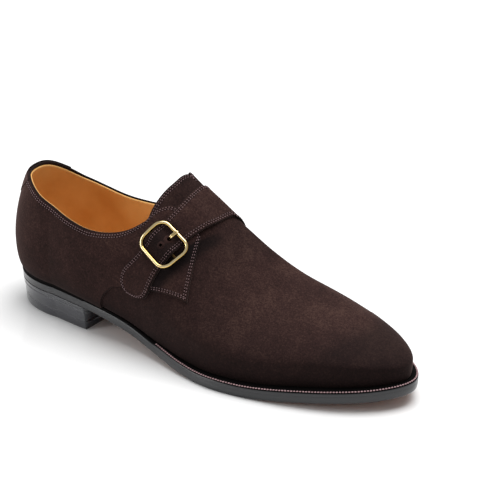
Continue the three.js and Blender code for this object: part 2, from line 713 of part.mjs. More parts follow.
// The prong hooks under the bar, comes up through the strap and rests on the frame
function buckleProng() {
  const away = BAR_DIAMETER / 2 + GAP + PRONG_ROOT / 2;
  const rest = FRAME_LIFT + FRAME_HEIGHT / 2 + GAP + PRONG_DIAMETER / 2;
  const underside = BAR_LIFT - away;
  const hook = blend(Math.PI * 0.95, Math.PI * 1.65, 5).map((turn) => [
    away * Math.cos(turn),
    BAR_LIFT + away * Math.sin(turn),
  ]);
  const path = [
    ...hook,
    [HOLE_AT - HOLE_LENGTH * 0.83, underside + GAP * 2.3],
    [HOLE_AT - HOLE_LENGTH * 0.33, underside + GAP * 4],
    [HOLE_AT + HOLE_LENGTH * 0.05, (underside + rest) / 2 + GAP * 1.3],
    [HOLE_AT + HOLE_LENGTH * 0.36, rest - GAP * 2],
    [HOLE_AT + HOLE_LENGTH * 0.8, rest],
    [BAR_SPACING - FRAME_WIDTH / 2, rest],
    [BAR_SPACING + FRAME_WIDTH / 10, rest],
  ];
  const swell = (i) => Math.max(i - hook.length + 1, 0) * PRONG_SWELL;
  const radius = (i) => Math.min(PRONG_ROOT / 2 + swell(i), PRONG_DIAMETER / 2);
  const spots = path.map(([a, lift]) => buckleSpot(a, 0, lift));
  return sweep(spots, (i) => roundSection(radius(i)), false, BUCKLE.across);
}

// A leaf of leather under the bar with a lip in front of it, slotted for the prong
function buckleTab() {
  const lip = BAR_DIAMETER / 2 + GAP;
  const top = (a) => (a > lip - 0.01 ? BAR_LIFT : TAB_TOP);
  const back = [1, 0.6, 0.3].map((part) => -TAB_LENGTH * part);
  const stations = [...back, 0, lip - 0.1, lip, lip + TAB_THICKNESS];
  const section = (half) => stations.flatMap((a) => [
    buckleSpot(a, half, STRAP_LIFT).point.toArray(),
    buckleSpot(a, half, top(a)).point.toArray(),
  ]);
  const leaf = (from, to) => {
    const steps = [from, (from + to) / 2, to];
    const points = steps.flatMap(section);
    const ring = [...stations.map((a, i) => 2 * i), ...stations.map((a, i) => 2 * i + 1).reverse()];
    const width = stations.length * 2;
    const faces = [];
    for (let j = 0; j < steps.length - 1; j += 1) {
      ring.forEach((here, i) => {
        const next = ring[(i + 1) % ring.length];
        faces.push([j * width + here, j * width + next, (j + 1) * width + next]);
        faces.push([j * width + here, (j + 1) * width + next, (j + 1) * width + here]);
      });
    }
    for (let i = 0; i < stations.length - 1; i += 1) {
      const [a, b, c, d] = [2 * i, 2 * i + 1, 2 * i + 3, 2 * i + 2];
      faces.push([a, b, c], [a, c, d]);
      const end = (steps.length - 1) * width;
      faces.push([end + a, end + c, end + b], [end + a, end + d, end + c]);
    }
    return solidFrom(points, faces);
  };
  const slot = PRONG_ROOT / 2 + GAP;
  const root = -BAR_DIAMETER / 2 - GAP - PRONG_ROOT - GAP;
  const slotBox = new THREE.BoxGeometry(BUCKLE_LENGTH, 2 * slot, BUCKLE_LENGTH);
  const basis = new THREE.Matrix4().makeBasis(BUCKLE.along, BUCKLE.across, BUCKLE.normal);
  const middle = BUCKLE.point.clone().addScaledVector(BUCKLE.along, root + BUCKLE_LENGTH / 2);
  slotBox.applyMatrix4(basis.setPosition(middle));
  return largest(leaf(-TAB_WIDTH / 2, TAB_WIDTH / 2).subtract(solidOf(slotBox)));
}

// A cut can leave crumbs: the piece itself is the largest body
function largest(solid) {
  return solid.decompose().reduce((best, part) => (part.volume() > best.volume() ? part : best));
}

// One named mesh for each piece, with its own material
function piece(name, solid, color, roughness, metalness = 0) {
  const mesh = solid.getMesh();
  const geometry = new THREE.BufferGeometry();
  geometry.setAttribute("position", new THREE.BufferAttribute(Float32Array.from(mesh.vertProperties), 3));
  geometry.setIndex(new THREE.BufferAttribute(Uint32Array.from(mesh.triVerts), 1));
  geometry.computeVertexNormals();
  const material = new THREE.MeshStandardMaterial({ color, roughness, metalness });
  const object = new THREE.Mesh(geometry, material);
  object.name = name;
  return object;
}

const shoe = new THREE.Group();
shoe.add(
  piece("outsole", outsole(), 0x2b2828, 0.45),
  piece("welt", welt(), 0x2f2b2b, 0.5),
  piece("heel_rand", heelRand(), 0x2f2b2b, 0.5),
  piece("heel_stack", heelStack(), 0x262424, 0.4),
  piece("top_lift", topLift(), 0x222121, 0.6),
  piece("insole", insole(), 0xc79a63, 0.7),
  piece("upper", upper(), 0x4a3b38, 0.95),
  piece("tongue", tongue(), 0x463835, 0.95),
  piece("lateral_quarter", lateralQuarter(), 0x4c3d3a, 0.95),
  piece("medial_quarter_and_strap", medialQuarterAndStrap(), 0x4e3f3b, 0.95),
  piece("heel_tab", heelTab(), 0x463835, 0.95),
  piece("buckle_frame", buckleFrame(), 0xc9b583, 0.25, 1),
  piece("buckle_prong", buckleProng(), 0xc9b583, 0.25, 1),
  piece("buckle_tab", buckleTab(), 0x4c3d3a, 0.95),
);

// The shoe stands on the floor with its origin under the middle of its bounding box
const box = new THREE.Box3().setFromObject(shoe);
shoe.position.set(-(box.min.x + box.max.x) / 2, -(box.min.y + box.max.y) / 2, -box.min.z);
const standing = new THREE.Group();
standing.add(shoe);
export default standing;
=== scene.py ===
# %% [markdown]
# # A monk strap shoe in dark brown suede
#
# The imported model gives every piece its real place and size. This lesson dresses it: each piece of leather
# is worked out again as a smooth surface over the same last, with its cut edges, its stitches and its nap.
# Lengths are written in millimetres, as a shoemaker does, and turned to metres when a mesh is made.

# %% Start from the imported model
import math

import bmesh
import bpy
import numpy as np
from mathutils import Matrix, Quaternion, Vector


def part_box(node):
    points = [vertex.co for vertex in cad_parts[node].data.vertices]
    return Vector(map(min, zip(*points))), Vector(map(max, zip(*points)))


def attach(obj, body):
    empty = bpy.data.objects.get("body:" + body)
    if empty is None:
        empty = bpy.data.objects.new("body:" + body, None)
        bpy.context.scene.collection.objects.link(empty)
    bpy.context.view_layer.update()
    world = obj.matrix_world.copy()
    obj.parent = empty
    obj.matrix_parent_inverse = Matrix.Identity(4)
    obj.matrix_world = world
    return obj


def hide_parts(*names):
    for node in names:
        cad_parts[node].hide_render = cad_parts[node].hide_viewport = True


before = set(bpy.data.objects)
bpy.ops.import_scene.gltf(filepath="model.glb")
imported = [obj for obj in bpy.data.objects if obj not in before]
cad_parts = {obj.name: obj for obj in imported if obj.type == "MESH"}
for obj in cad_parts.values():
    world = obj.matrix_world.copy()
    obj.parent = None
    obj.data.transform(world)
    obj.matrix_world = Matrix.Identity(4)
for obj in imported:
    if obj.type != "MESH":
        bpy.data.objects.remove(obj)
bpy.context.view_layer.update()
MM = 0.001
print("packed pieces:", sorted(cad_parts))

# %% [markdown]
# ## The last
#
# A shoe is pulled over a last, a wooden foot. Every piece of the upper lies on that one surface, so it is
# written once, as a function of two numbers: `s` walks along the sole's edge from the middle of the heel (0)
# by the end of the round heel (1) and the start of the round toe (2) to the tip of the toe (3), and `w`
# climbs from the outer feather line (0) over the ridge (1) down to the inner feather line (2).
# It could be sculpted by hand, but short tables of sections keep it exact and easy to change.

# %% Sizes of the last and of the leathers
LENGTH, BALL_WIDTH, INSTEP_HEIGHT = 302.0, 108.0, 100.0
HEEL_HEIGHT, HEEL_LENGTH, TOE_SPRING = 17.4, 73.0, 8.4
HEEL_SQUARE, TOE_SQUARE = 2.15, 2.05
HEEL_AXIS, TOE_AXIS, TOE_TIP = 0.15, 0.84, 0.015
TOE_CLOSE, TOE_LOW, TOE_FULL = 0.45, 0.35, 0.5
OUTSOLE_THICKNESS, WELT_THICKNESS, TOP_LIFT_THICKNESS = 5.0, 3.0, 6.0
SUEDE_THICKNESS, WALL, GAP = 1.4, 2.0, 0.3
BOTTOM = OUTSOLE_THICKNESS + WELT_THICKNESS
LOWER = 0.2
RIDGE_ROUND, SIDE_ROUND = 0.10, 0.03


def through(xs, ys, level=False):
    """A smooth function through the rows of a table: between two rows a cubic, which shares its slope with
    the next cubic; each inner slope is the mean of the two steps beside it, weighted by the other's width."""
    xs, ys = np.asarray(xs, float), np.asarray(ys, float)
    width = np.diff(xs)
    step = np.diff(ys) / width
    slope = np.zeros(len(xs))
    slope[1:-1] = (step[:-1] * width[1:] + step[1:] * width[:-1]) / (width[:-1] + width[1:])
    if not level:
        slope[0] = 1.5 * step[0] - 0.5 * slope[1]
        slope[-1] = 1.5 * step[-1] - 0.5 * slope[-2]

    def at(x):
        """The cubic between the two rows on either side of x."""
        i = np.clip(np.searchsorted(xs, x, side="right") - 1, 0, len(xs) - 2)
        t = np.clip((x - xs[i]) / width[i], 0, 1)
        start = (1 + 2 * t) * (1 - t) ** 2 * ys[i] + t * (1 - t) ** 2 * width[i] * slope[i]
        return start + t * t * (3 - 2 * t) * ys[i + 1] + t * t * (t - 1) * width[i] * slope[i + 1]

    return at


def table(names, rows, level=False):
    """One smooth function for each named column, all over the first column."""
    columns = np.array(rows, float).T
    return {name: through(columns[0], column, level) for name, column in zip(names[1:], columns[1:])}


SOLE = table(("at", "lateral", "medial"), (
    (0.15, 0.306, 0.316), (0.22, 0.330, 0.306), (0.30, 0.345, 0.271), (0.38, 0.363, 0.247), (0.46, 0.415, 0.260),
    (0.54, 0.475, 0.323), (0.62, 0.508, 0.405), (0.70, 0.489, 0.458), (0.77, 0.447, 0.454), (0.84, 0.384, 0.400)))
HEEL_RISE = table(("at", "share"), (
    (0.00, 1), (0.12, 1), (0.24, 0.94), (0.34, 0.69), (0.44, 0.333), (0.54, 0.07), (0.60, 0)), True)["share"]
TOE_RISE = table(("at", "share"), (
    (0.68, 0), (0.72, 0.06), (0.80, 0.33), (0.88, 0.62), (0.95, 0.83), (1.00, 1), (1.04, 1.1)), True)["share"]
SECTION = table(("at", "inset_lateral", "inset_medial", "tuck_lateral", "tuck_medial", "widest", "ridge",
                 "ridge_side", "square"), (
    (0.15, -0.019, -0.019, 0.041, 0.042, 0.205, 0.996, 0.000, 1.75),
    (0.25, -0.023, -0.023, 0.036, 0.046, 0.210, 0.994, 0.020, 1.68),
    (0.35, -0.014, -0.032, 0.028, 0.056, 0.215, 0.965, 0.060, 1.62),
    (0.45, 0.008, -0.019, 0.018, 0.046, 0.205, 0.878, 0.100, 1.58),
    (0.55, 0.035, 0.017, 0.014, 0.028, 0.175, 0.691, 0.155, 1.42),
    (0.65, 0.049, 0.044, 0.014, 0.019, 0.150, 0.520, 0.175, 1.42),
    (0.75, 0.054, 0.054, 0.014, 0.014, 0.140, 0.413, 0.160, 1.60),
    (0.84, 0.054, 0.054, 0.014, 0.014, 0.145, 0.310, 0.125, 1.80)))
COLLAR = table(("at", "lateral", "medial"), (
    (-0.02, 0.686, 0.686), (0.007, 0.681, 0.681), (0.046, 0.654, 0.586), (0.073, 0.628, 0.521),
    (0.109, 0.586, 0.476), (0.142, 0.558, 0.451), (0.205, 0.509, 0.434), (0.262, 0.499, 0.463),
    (0.311, 0.535, 0.513), (0.358, 0.606, 0.590), (0.391, 0.694, 0.671)))


def seat(at):
    """Height of the welt's top face: heel and toe spring each lift it by their share."""
    return BOTTOM + HEEL_HEIGHT * HEEL_RISE(at) + TOE_SPRING * TOE_RISE(at)


# %% The sole's edge and the surface of the last
def sole_edge(side, s):
    """The sole's edge: a superellipse quarter round the heel, the table along the side, and a superellipse
    quarter round the toe, sheared so that it goes on in the direction in which the side arrives."""
    def half(at):
        """The half width of the sole that the table gives at a share of the length."""
        return np.where(side > 0, SOLE["medial"](at), SOLE["lateral"](at)) * BALL_WIDTH

    at = HEEL_AXIS + np.clip(s - 1, 0, 1) * (TOE_AXIS - HEEL_AXIS)
    turn = np.clip(s, 0, 1) * math.pi / 2
    heel_x = HEEL_AXIS * LENGTH * (1 - np.abs(np.cos(turn)) ** (2 / HEEL_SQUARE))
    heel_y = half(HEEL_AXIS) * np.sin(turn) ** (2 / HEEL_SQUARE)
    turn = np.clip(s - 2, 0, 1) * math.pi / 2
    reach, small = (1 - TOE_AXIS) * LENGTH, 0.001
    taper = (half(TOE_AXIS) - half(TOE_AXIS - small)) / (small * LENGTH)
    centre = side * TOE_TIP * BALL_WIDTH - taper * reach
    across, ahead = np.abs(np.cos(turn)) ** (2 / TOE_SQUARE), np.sin(turn) ** (2 / TOE_SQUARE)
    toe_y = centre + (half(TOE_AXIS) - centre) * across + taper * reach * ahead
    x = np.where(s < 1, heel_x, np.where(s <= 2, at * LENGTH, TOE_AXIS * LENGTH + reach * ahead))
    return x, side * np.where(s < 1, heel_y, np.where(s <= 2, half(at), toe_y))


def sole_out(side, s):
    """The direction that points straight out of the sole's edge, seen from above."""
    small = 0.002
    before, after = sole_edge(side, np.clip(s - small, 0, 3)), sole_edge(side, np.clip(s + small, 0, 3))
    along = (after[0] - before[0], after[1] - before[1])
    size = np.hypot(*along) + 1e-12
    out_x, out_y = -side * along[1] / size, side * along[0] / size
    ends = (s <= 0) | (s >= 3)
    return np.where(ends, np.where(s <= 0, -1.0, 1.0), out_x), np.where(ends, 0.0, out_y)


def ease(value, low, high):
    """Rises smoothly from 0 at low to 1 at high: three squares less two cubes."""
    t = np.clip((value - low) / (high - low), 0, 1)
    return t * t * (3 - 2 * t)


def side_inset(side, s, at):
    """How far the widest line lies inside the sole's edge; it closes up towards the tip of the toe."""
    inset = np.where(side > 0, SECTION["inset_medial"](at), SECTION["inset_lateral"](at))
    return BALL_WIDTH * inset * (1 - TOE_CLOSE * ease(s, 2, 3))


def feather_inset(side, s):
    """How far the feather line lies inside the sole's edge: the widest line's inset and the tuck."""
    at = np.clip(sole_edge(side, s)[0] / LENGTH, HEEL_AXIS, TOE_AXIS)
    tuck = np.where(side > 0, SECTION["tuck_medial"](at), SECTION["tuck_lateral"](at))
    return side_inset(side, s, at) + BALL_WIDTH * tuck


def last(s, w):
    """A point of the last: a quarter ellipse from the feather line out to the widest line, then a
    superellipse up to the ridge, both with their tight spots rounded. Past the middle of heel or toe, s
    turns back on the other side of the foot."""
    s, w = np.broadcast_arrays(np.asarray(s, float), np.asarray(w, float))
    beyond = (s < 0) | (s > 3)
    w = np.clip(np.where(beyond, 2 - w, w), 0, 2)
    s = np.where(s < 0, -s, np.where(s > 3, 6 - s, s))
    side, v = np.where(w <= 1, -1.0, 1.0), np.where(w <= 1, w, 2 - w)
    edge_x, edge_y = sole_edge(side, s)
    out_x, out_y = sole_out(side, s)
    at = np.clip(edge_x / LENGTH, HEEL_AXIS, TOE_AXIS)
    inset = side_inset(side, s, at)
    tuck = feather_inset(side, s) - inset
    base = seat(edge_x / LENGTH)
    widest = base + SECTION["widest"](at) * INSTEP_HEIGHT * (1 - TOE_LOW * ease(s, 2, 3))

    def top(place):
        """The height of the ridge at a share of the length."""
        return seat(place) + SECTION["ridge"](place) * INSTEP_HEIGHT

    small = 0.002
    inward = np.where(s < 1, at + small, at - small)
    slope = (top(at) - top(inward)) / ((at - inward) * LENGTH)
    pole_x, pole_y, pole_z = at * LENGTH, SECTION["ridge_side"](at) * BALL_WIDTH, top(at)
    wide_x, wide_y = edge_x - inset * out_x, edge_y - inset * out_y
    turn = np.clip(v / LOWER, 0, 1) * math.pi / 2
    low = np.sin(turn)
    low_x, low_y = wide_x - tuck * out_x * (1 - low), wide_y - tuck * out_y * (1 - low)
    low_z = base + (widest - base) * (1 - np.cos(turn))
    square = SECTION["square"](at)
    turn = np.clip((v - LOWER) / (1 - LOWER), 0, 1) * math.pi / 2
    out = np.clip(np.cos(turn), 0, 1) ** (2 / square)
    flat = ((out ** 2 + RIDGE_ROUND ** 2) ** (square / 2) - RIDGE_ROUND ** square)
    flat = flat / ((1 + RIDGE_ROUND ** 2) ** (square / 2) - RIDGE_ROUND ** square)
    rest = (1 - np.clip(flat, 0, 1)) * ((1 + SIDE_ROUND ** 2) ** (square / 2) - SIDE_ROUND ** square)
    up = np.sqrt(np.clip((rest + SIDE_ROUND ** square) ** (2 / square) - SIDE_ROUND ** 2, 0, None))
    tilt = np.where((s < 1) | (s > 2), slope * (wide_x - pole_x), 0.0)
    high_z = widest - tilt + tilt * out + (pole_z - widest + tilt) * up
    full_z = widest + (pole_z - widest) * up + tilt * out * (1 - out)
    high_z = high_z + (full_z - high_z) * TOE_FULL * ease(s, 2, 2.4)
    below = v <= LOWER
    return np.stack([np.where(below, low_x, pole_x + (wide_x - pole_x) * out),
                     np.where(below, low_y, pole_y + (wide_y - pole_y) * out),
                     np.where(below, low_z, high_z)], -1)


def unit(vectors):
    """Vectors divided by their own length."""
    return vectors / (np.linalg.norm(vectors, axis=-1, keepdims=True) + 1e-12)


def last_normal(s, w):
    """Straight out of the last: the cross product of the two directions in which its surface runs."""
    s, w = np.broadcast_arrays(np.asarray(s, float), np.asarray(w, float))
    small = 0.003
    along = last(s + small, w) - last(s - small, w)
    over = last(s, np.clip(w + small, 0, 2)) - last(s, np.clip(w - small, 0, 2))
    pole = (np.abs(w - 1) < 1e-6) & ((s <= 0.999) | (s >= 2.001))
    at = np.where(s < 1, HEEL_AXIS, TOE_AXIS)
    step = np.where(s < 1, 0.002, -0.002)
    rise = seat(at + step) - seat(at) + (SECTION["ridge"](at + step) - SECTION["ridge"](at)) * INSTEP_HEIGHT
    crown = np.stack([-rise / (step * LENGTH), np.zeros_like(rise), np.ones_like(rise)], -1)
    return unit(np.where(pole[..., None], unit(crown), unit(np.cross(along, over))))


SOFT_FORMS = [((36, -28, 56), (13, 14, 15), -0.55), ((70, -36, 36), (17, 14, 10), 0.5),
              ((112, -40, 27), (15, 14, 7), -0.55), ((140, -38, 22), (12, 14, 7), 0.35),
              ((172, -28, 50), (8, 18, 18), -0.5), ((190, -20, 47), (8, 26, 20), 0.4),
              ((208, -14, 42), (9, 24, 20), -0.4), ((180, 24, 48), (9, 18, 16), -0.4),
              ((60, 32, 50), (16, 14, 12), -0.5), ((104, 34, 40), (16, 14, 10), 0.4)]


def skin(s, w, lift=0.0):
    """The last grown outwards by a lift, with the soft forms that wear leaves, each given by
    its middle (x, y, z), its reach along each of them, and its height, which fades as a bell curve."""
    spot = last(s, w)
    height = np.asarray(lift, float) + np.zeros(spot.shape[:-1])
    for middle, reach, rise in SOFT_FORMS:
        height = height + rise * np.exp(-(((spot - middle) / reach) ** 2).sum(-1))
    return spot + last_normal(s, w) * height[..., None]


def share(at):
    """The station s at which the sole's edge has gone a share `at` of the length."""
    return 1 + (np.asarray(at, float) - HEEL_AXIS) / (TOE_AXIS - HEEL_AXIS)


test = last_normal(np.array([0.5, 1.5, 1.5, 2.5]), np.array([0.3, 0.5, 1.5, 0.5]))
print("normals", np.round(test, 2).tolist())
print("last at the ball:", np.round(last(share(0.62), np.array([0.2, 1.0, 1.8])), 1).tolist())

# %% [markdown]
# ## From the workshop's numbers to the model's place
#
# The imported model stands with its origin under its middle. The outsole's box says how far that is from the
# back of the heel, from which this lesson counts, so nothing has to be fitted by eye.

# %% Where the model stands
EDGE_STEP = 0.4
walk = np.linspace(0, 3, 400)
edges = [(sole_edge(side, walk)[1] - EDGE_STEP * sole_out(side, walk)[1]) for side in (-1.0, 1.0)]
low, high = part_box("outsole")
SHIFT = np.array([low.x / MM - EDGE_STEP, (low.y + high.y) / 2 / MM - (edges[0].min() + edges[1].max()) / 2, 0.0])
print("shift in mm:", np.round(SHIFT, 2).tolist())


# %% [markdown]
# ## From arrays to a mesh
#
# A mesh could be built face by face, but that is slow and hard to read. Here each shape is worked out as a
# whole grid of points, and one helper puts the arrays into a mesh, joins the points that meet and turns the
# faces outwards.

# %% Helpers that make a mesh from arrays
def grid_faces(rows, columns, closed=False):
    """Four corners for each cell of a grid of points; closed joins the last column to the first."""
    i, j = np.meshgrid(np.arange(rows - 1), np.arange(columns if closed else columns - 1), indexing="ij")
    k = (j + 1) % columns
    corners = [i * columns + j, i * columns + k, (i + 1) * columns + k, (i + 1) * columns + j]
    return np.stack(corners, -1).reshape(-1, 4)


def make_piece(name, points, faces, material, attributes=None, outward=True, slots=None, solid=None):
    """Puts arrays into a mesh in metres, joins points that meet, and turns the faces outwards."""
    mesh = bpy.data.meshes.new(name)
    points = (np.asarray(points, float).reshape(-1, 3) + SHIFT) * MM
    mesh.vertices.add(len(points))
    mesh.vertices.foreach_set("co", points.ravel())
    mesh.loops.add(faces.size)
    mesh.loops.foreach_set("vertex_index", faces.ravel().astype(np.int32))
    mesh.polygons.add(len(faces))
    mesh.polygons.foreach_set("loop_start", np.arange(0, faces.size, faces.shape[1]).astype(np.int32))
    if slots is not None:
        mesh.polygons.foreach_set("material_index", np.asarray(slots, np.int32))
    for label, values in (attributes or {}).items():
        layer = mesh.attributes.new(label, "FLOAT", "POINT")
        layer.data.foreach_set("value", np.asarray(values, np.float32).ravel())
    mesh.update(calc_edges=True)
    mesh.validate()
    shape = bmesh.new()
    shape.from_mesh(mesh)
    bmesh.ops.delete(shape, geom=[corner for corner in shape.verts if not corner.link_faces], context="VERTS")
    bmesh.ops.remove_doubles(shape, verts=shape.verts, dist=2e-6)
    if outward:
        bmesh.ops.recalc_face_normals(shape, faces=shape.faces)
    shape.to_mesh(mesh)
    shape.free()
    mesh.polygons.foreach_set("use_smooth", np.ones(len(mesh.polygons), bool))
    piece = bpy.data.objects.new(name, mesh)
    bpy.context.scene.collection.objects.link(piece)
    for one in material if isinstance(material, (list, tuple)) else [material]:
        mesh.materials.append(one)
    if solid:
        wall = piece.modifiers.new("wall", "SOLIDIFY")
        wall.thickness, wall.offset = solid * MM, -1
    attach(piece, "root")
    print(f"{name}: {len(mesh.vertices)} points, {len(mesh.polygons)} faces")
    return piece


# %% [markdown]
# ## Finishes
#
# Every material starts from what the real one is. One function turns a hex colour into Blender's linear
# light, and one adds a node with its settings and links, so each recipe reads as a short list.

# %% Helpers for materials
def hue(code):
    """An sRGB hex colour as linear light."""
    value = np.array([int(code[i:i + 2], 16) for i in (1, 3, 5)]) / 255
    linear = np.where(value <= 0.04045, value / 12.92, ((value + 0.055) / 1.055) ** 2.4)
    return (*linear.tolist(), 1.0)


def node(tree, kind, links=None, **settings):
    """Adds a node: settings are its properties or the values of its sockets, links feed its sockets."""
    made = tree.nodes.new(kind)
    for name, value in settings.items():
        if hasattr(made, name):
            setattr(made, name, value)
        else:
            made.inputs[name.replace("_", " ")].default_value = value
    for name, source in (links or {}).items():
        tree.links.new(source, made.inputs[name])
    return made


def start(name, **settings):
    """A material with a principled shader whose constants are set on its own sockets."""
    material = bpy.data.materials.new(name)
    material.use_nodes = True
    tree = material.node_tree
    shader = tree.nodes["Principled BSDF"]
    for socket, value in settings.items():
        shader.inputs[socket.replace("_", " ")].default_value = value
    return material, tree, shader


def ramp(tree, factor, stops):
    """A colour ramp between hex colours at the given places."""
    made = node(tree, "ShaderNodeValToRGB", {"Fac": factor})
    band = made.color_ramp.elements
    while len(band) < len(stops):
        band.new(0.5)
    for element, (place, code) in zip(band, stops):
        element.position, element.color = place, hue(code)
    return made.outputs["Color"]


def per_mm(size):
    """The scale of a pattern whose features are `size` millimetres apart."""
    return 1 / (size * MM)


# %% [markdown]
# ### Suede
#
# Suede is the flesh side of calf, buffed until its fibres stand up as a short nap. It has no shine of its
# own: fibres seen from the side catch light, which is sheen, and where a hand or a brush has laid them over
# the same dye looks lighter or darker. So the colour wanders in soft patches of about three centimetres, with
# mottling and fibre grain on top, and the roughness is close to one. Faces that look up are painted a little
# lighter, a painted highlight; cut edges are inked dark; painted shade darkens the sides towards the sole,
# down to a painted black shadow line at the welt, and lies under the strap, round the buckle and on the tongue.

# %% Suede
def suede(name, dark, mid, light, sheen=0.22):
    """Nap: noises of 28 mm for brushed patches, 7 mm for mottling, 1.7 mm and 0.8 mm for fibre grain."""
    material, tree, shader = start(name, Roughness=0.95, Specular_IOR_Level=0.12, Sheen_Weight=sheen,
                                   Sheen_Roughness=0.42, Sheen_Tint=hue("#b3918a"))
    place = node(tree, "ShaderNodeTexCoord").outputs["Object"]
    total = None
    for size, weight, detail in ((28, 0.34, 2.0), (7, 0.15, 3.0), (1.7, 0.32, 2.0), (0.8, 0.50, 1.0)):
        noise = node(tree, "ShaderNodeTexNoise", {"Vector": place}, Scale=per_mm(size), Detail=detail)
        part = node(tree, "ShaderNodeMath", {0: noise.outputs["Fac"]}, operation="MULTIPLY")
        part.inputs[1].default_value = weight
        if total is not None:
            part = node(tree, "ShaderNodeMath", {0: total.outputs[0], 1: part.outputs[0]}, operation="ADD")
        total = part
    # Faces that look up are painted lighter by their normal: a painted highlight from the light above.
    facing = node(tree, "ShaderNodeSeparateXYZ", {"Vector": node(tree, "ShaderNodeNewGeometry").outputs["Normal"]})
    lit_from_above = node(tree, "ShaderNodeMath", {0: facing.outputs["Z"], 2: total.outputs[0]}, operation="MULTIPLY_ADD")
    lit_from_above.inputs[1].default_value = 0.10
    level = node(tree, "ShaderNodeMapRange", {"Value": lit_from_above.outputs[0]})
    level.inputs["From Min"].default_value, level.inputs["From Max"].default_value = 0.51, 0.93
    colour = ramp(tree, level.outputs["Result"], ((0.0, dark), (0.5, mid), (1.0, light)))
    # Painted shade: darker down the sides towards the sole, then a painted black shadow line along the feather at the
    # welt.
    colour = fade(tree, "climb", -0.35, 0.78, "#0b0708", colour, 0.06)
    colour = fade(tree, "climb", 0.022, 0.05, "#030202", colour, 0.0)
    # Painted shadow under the strap's lower edge, round the buckle and on the tongue, read from the shade attribute.
    colour = fade(tree, "shade", 0.95, 0.05, "#060405", colour, 0.12)
    colour = fade(tree, "edge", 0.15, 0.75, "#140d0c", colour, 0.0)
    tree.links.new(colour, shader.inputs["Base Color"])
    pile = node(tree, "ShaderNodeTexNoise", {"Vector": place}, Scale=per_mm(0.6), Detail=2.0)
    soft = node(tree, "ShaderNodeTexNoise", {"Vector": place}, Scale=per_mm(5), Detail=2.0)
    nap = node(tree, "ShaderNodeBump", {"Height": pile.outputs["Fac"]}, Strength=0.6, Distance=0.15 * MM)
    uneven = node(tree, "ShaderNodeBump", {"Height": soft.outputs["Fac"], "Normal": nap.outputs["Normal"]},
                  Strength=0.4, Distance=0.4 * MM)
    tree.links.new(uneven.outputs["Normal"], shader.inputs["Normal"])
    return material


def fade(tree, attribute, low, high, code, colour, keep):
    """Mixes from a dark hex colour at the attribute's low value to the given colour at its high value."""
    reading = node(tree, "ShaderNodeAttribute", attribute_name=attribute)
    span = node(tree, "ShaderNodeMapRange", {"Value": reading.outputs["Fac"]})
    span.interpolation_type = "SMOOTHSTEP"
    span.inputs["From Min"].default_value, span.inputs["From Max"].default_value = low, high
    span.inputs["To Min"].default_value = keep
    mixed = node(tree, "ShaderNodeMix", {"Factor": span.outputs["Result"]}, data_type="RGBA")
    mixed.inputs["A_Color" if "A_Color" in mixed.inputs else 6].default_value = hue(code)
    tree.links.new(colour, mixed.inputs[7])
    return mixed.outputs[2]


brown_suede = suede("calf_suede_dark_brown", "#1b100e", "#2d1c1a", "#43302a")


# %% [markdown]
# ### Lining, blacked edges, thread and brass
#
# The lining is smooth vegetable-tanned calf. The edges of sole and heel are inked and hot-waxed, so they
# shine softly. The thread is waxed polyester, a shade lighter than the suede. The buckle is brass with a pale
# gold plating, polished; its colour carries a painted highlight on the wire's crown and painted dark reflections on
# its sides.

# %% The other finishes
def smooth_leather(name, dark, light, roughness, pore=0.9, depth=0.06, coat=0.0, gleam=0.45):
    """Smooth leather or a waxed edge: slow change of tone over 22 mm and pores a millimetre apart."""
    material, tree, shader = start(name, Specular_IOR_Level=gleam, Coat_Weight=coat, Coat_Roughness=0.22)
    place = node(tree, "ShaderNodeTexCoord").outputs["Object"]
    tone = node(tree, "ShaderNodeTexNoise", {"Vector": place}, Scale=per_mm(22), Detail=4.0)
    tree.links.new(ramp(tree, tone.outputs["Fac"], ((0.3, dark), (0.7, light))), shader.inputs["Base Color"])
    gloss = node(tree, "ShaderNodeMapRange", {"Value": tone.outputs["Fac"]})
    gloss.inputs["To Min"].default_value, gloss.inputs["To Max"].default_value = roughness - 0.07, roughness + 0.07
    tree.links.new(gloss.outputs["Result"], shader.inputs["Roughness"])
    pores = node(tree, "ShaderNodeTexVoronoi", {"Vector": place}, Scale=per_mm(pore))
    bump = node(tree, "ShaderNodeBump", {"Height": pores.outputs["Distance"]}, Strength=0.4, Distance=depth * MM)
    tree.links.new(bump.outputs["Normal"], shader.inputs["Normal"])
    return material


tan_lining = smooth_leather("vegetable_tanned_lining", "#d69a50", "#e6b26a", 0.5)
tan_sock = smooth_leather("vegetable_tanned_sock", "#b98248", "#cd9759", 0.55)
black_edge = smooth_leather("waxed_black_edge", "#0f1014", "#16171b", 0.34, pore=1.6, depth=0.03, coat=0.3)
# The heel's black is set lighter than the sole edge's: painted light standing in for the polished heel's reflection.
black_heel_painted_light = smooth_leather("polished_black_heel", "#222329", "#2c2d34", 0.24, pore=1.6, depth=0.005, coat=0.6)
# The welt's black dressing is set near zero, darker than its rim: real black dressing with painted shade on the
# welt's top.
black_welt_painted_shade = smooth_leather("black_welt_leather", "#030202", "#060404", 0.85, pore=1.1, depth=0.05, gleam=0.08)
tan_tread = smooth_leather("oak_bark_sole_leather", "#7a4a30", "#935f42", 0.5, pore=1.3, depth=0.05)
dark_pit = smooth_leather("punched_hole_shadow", "#020101", "#040202", 0.9, gleam=0.0)
black_rubber = smooth_leather("black_rubber_lift", "#1b1a1b", "#242324", 0.55, pore=0.8, depth=0.05)


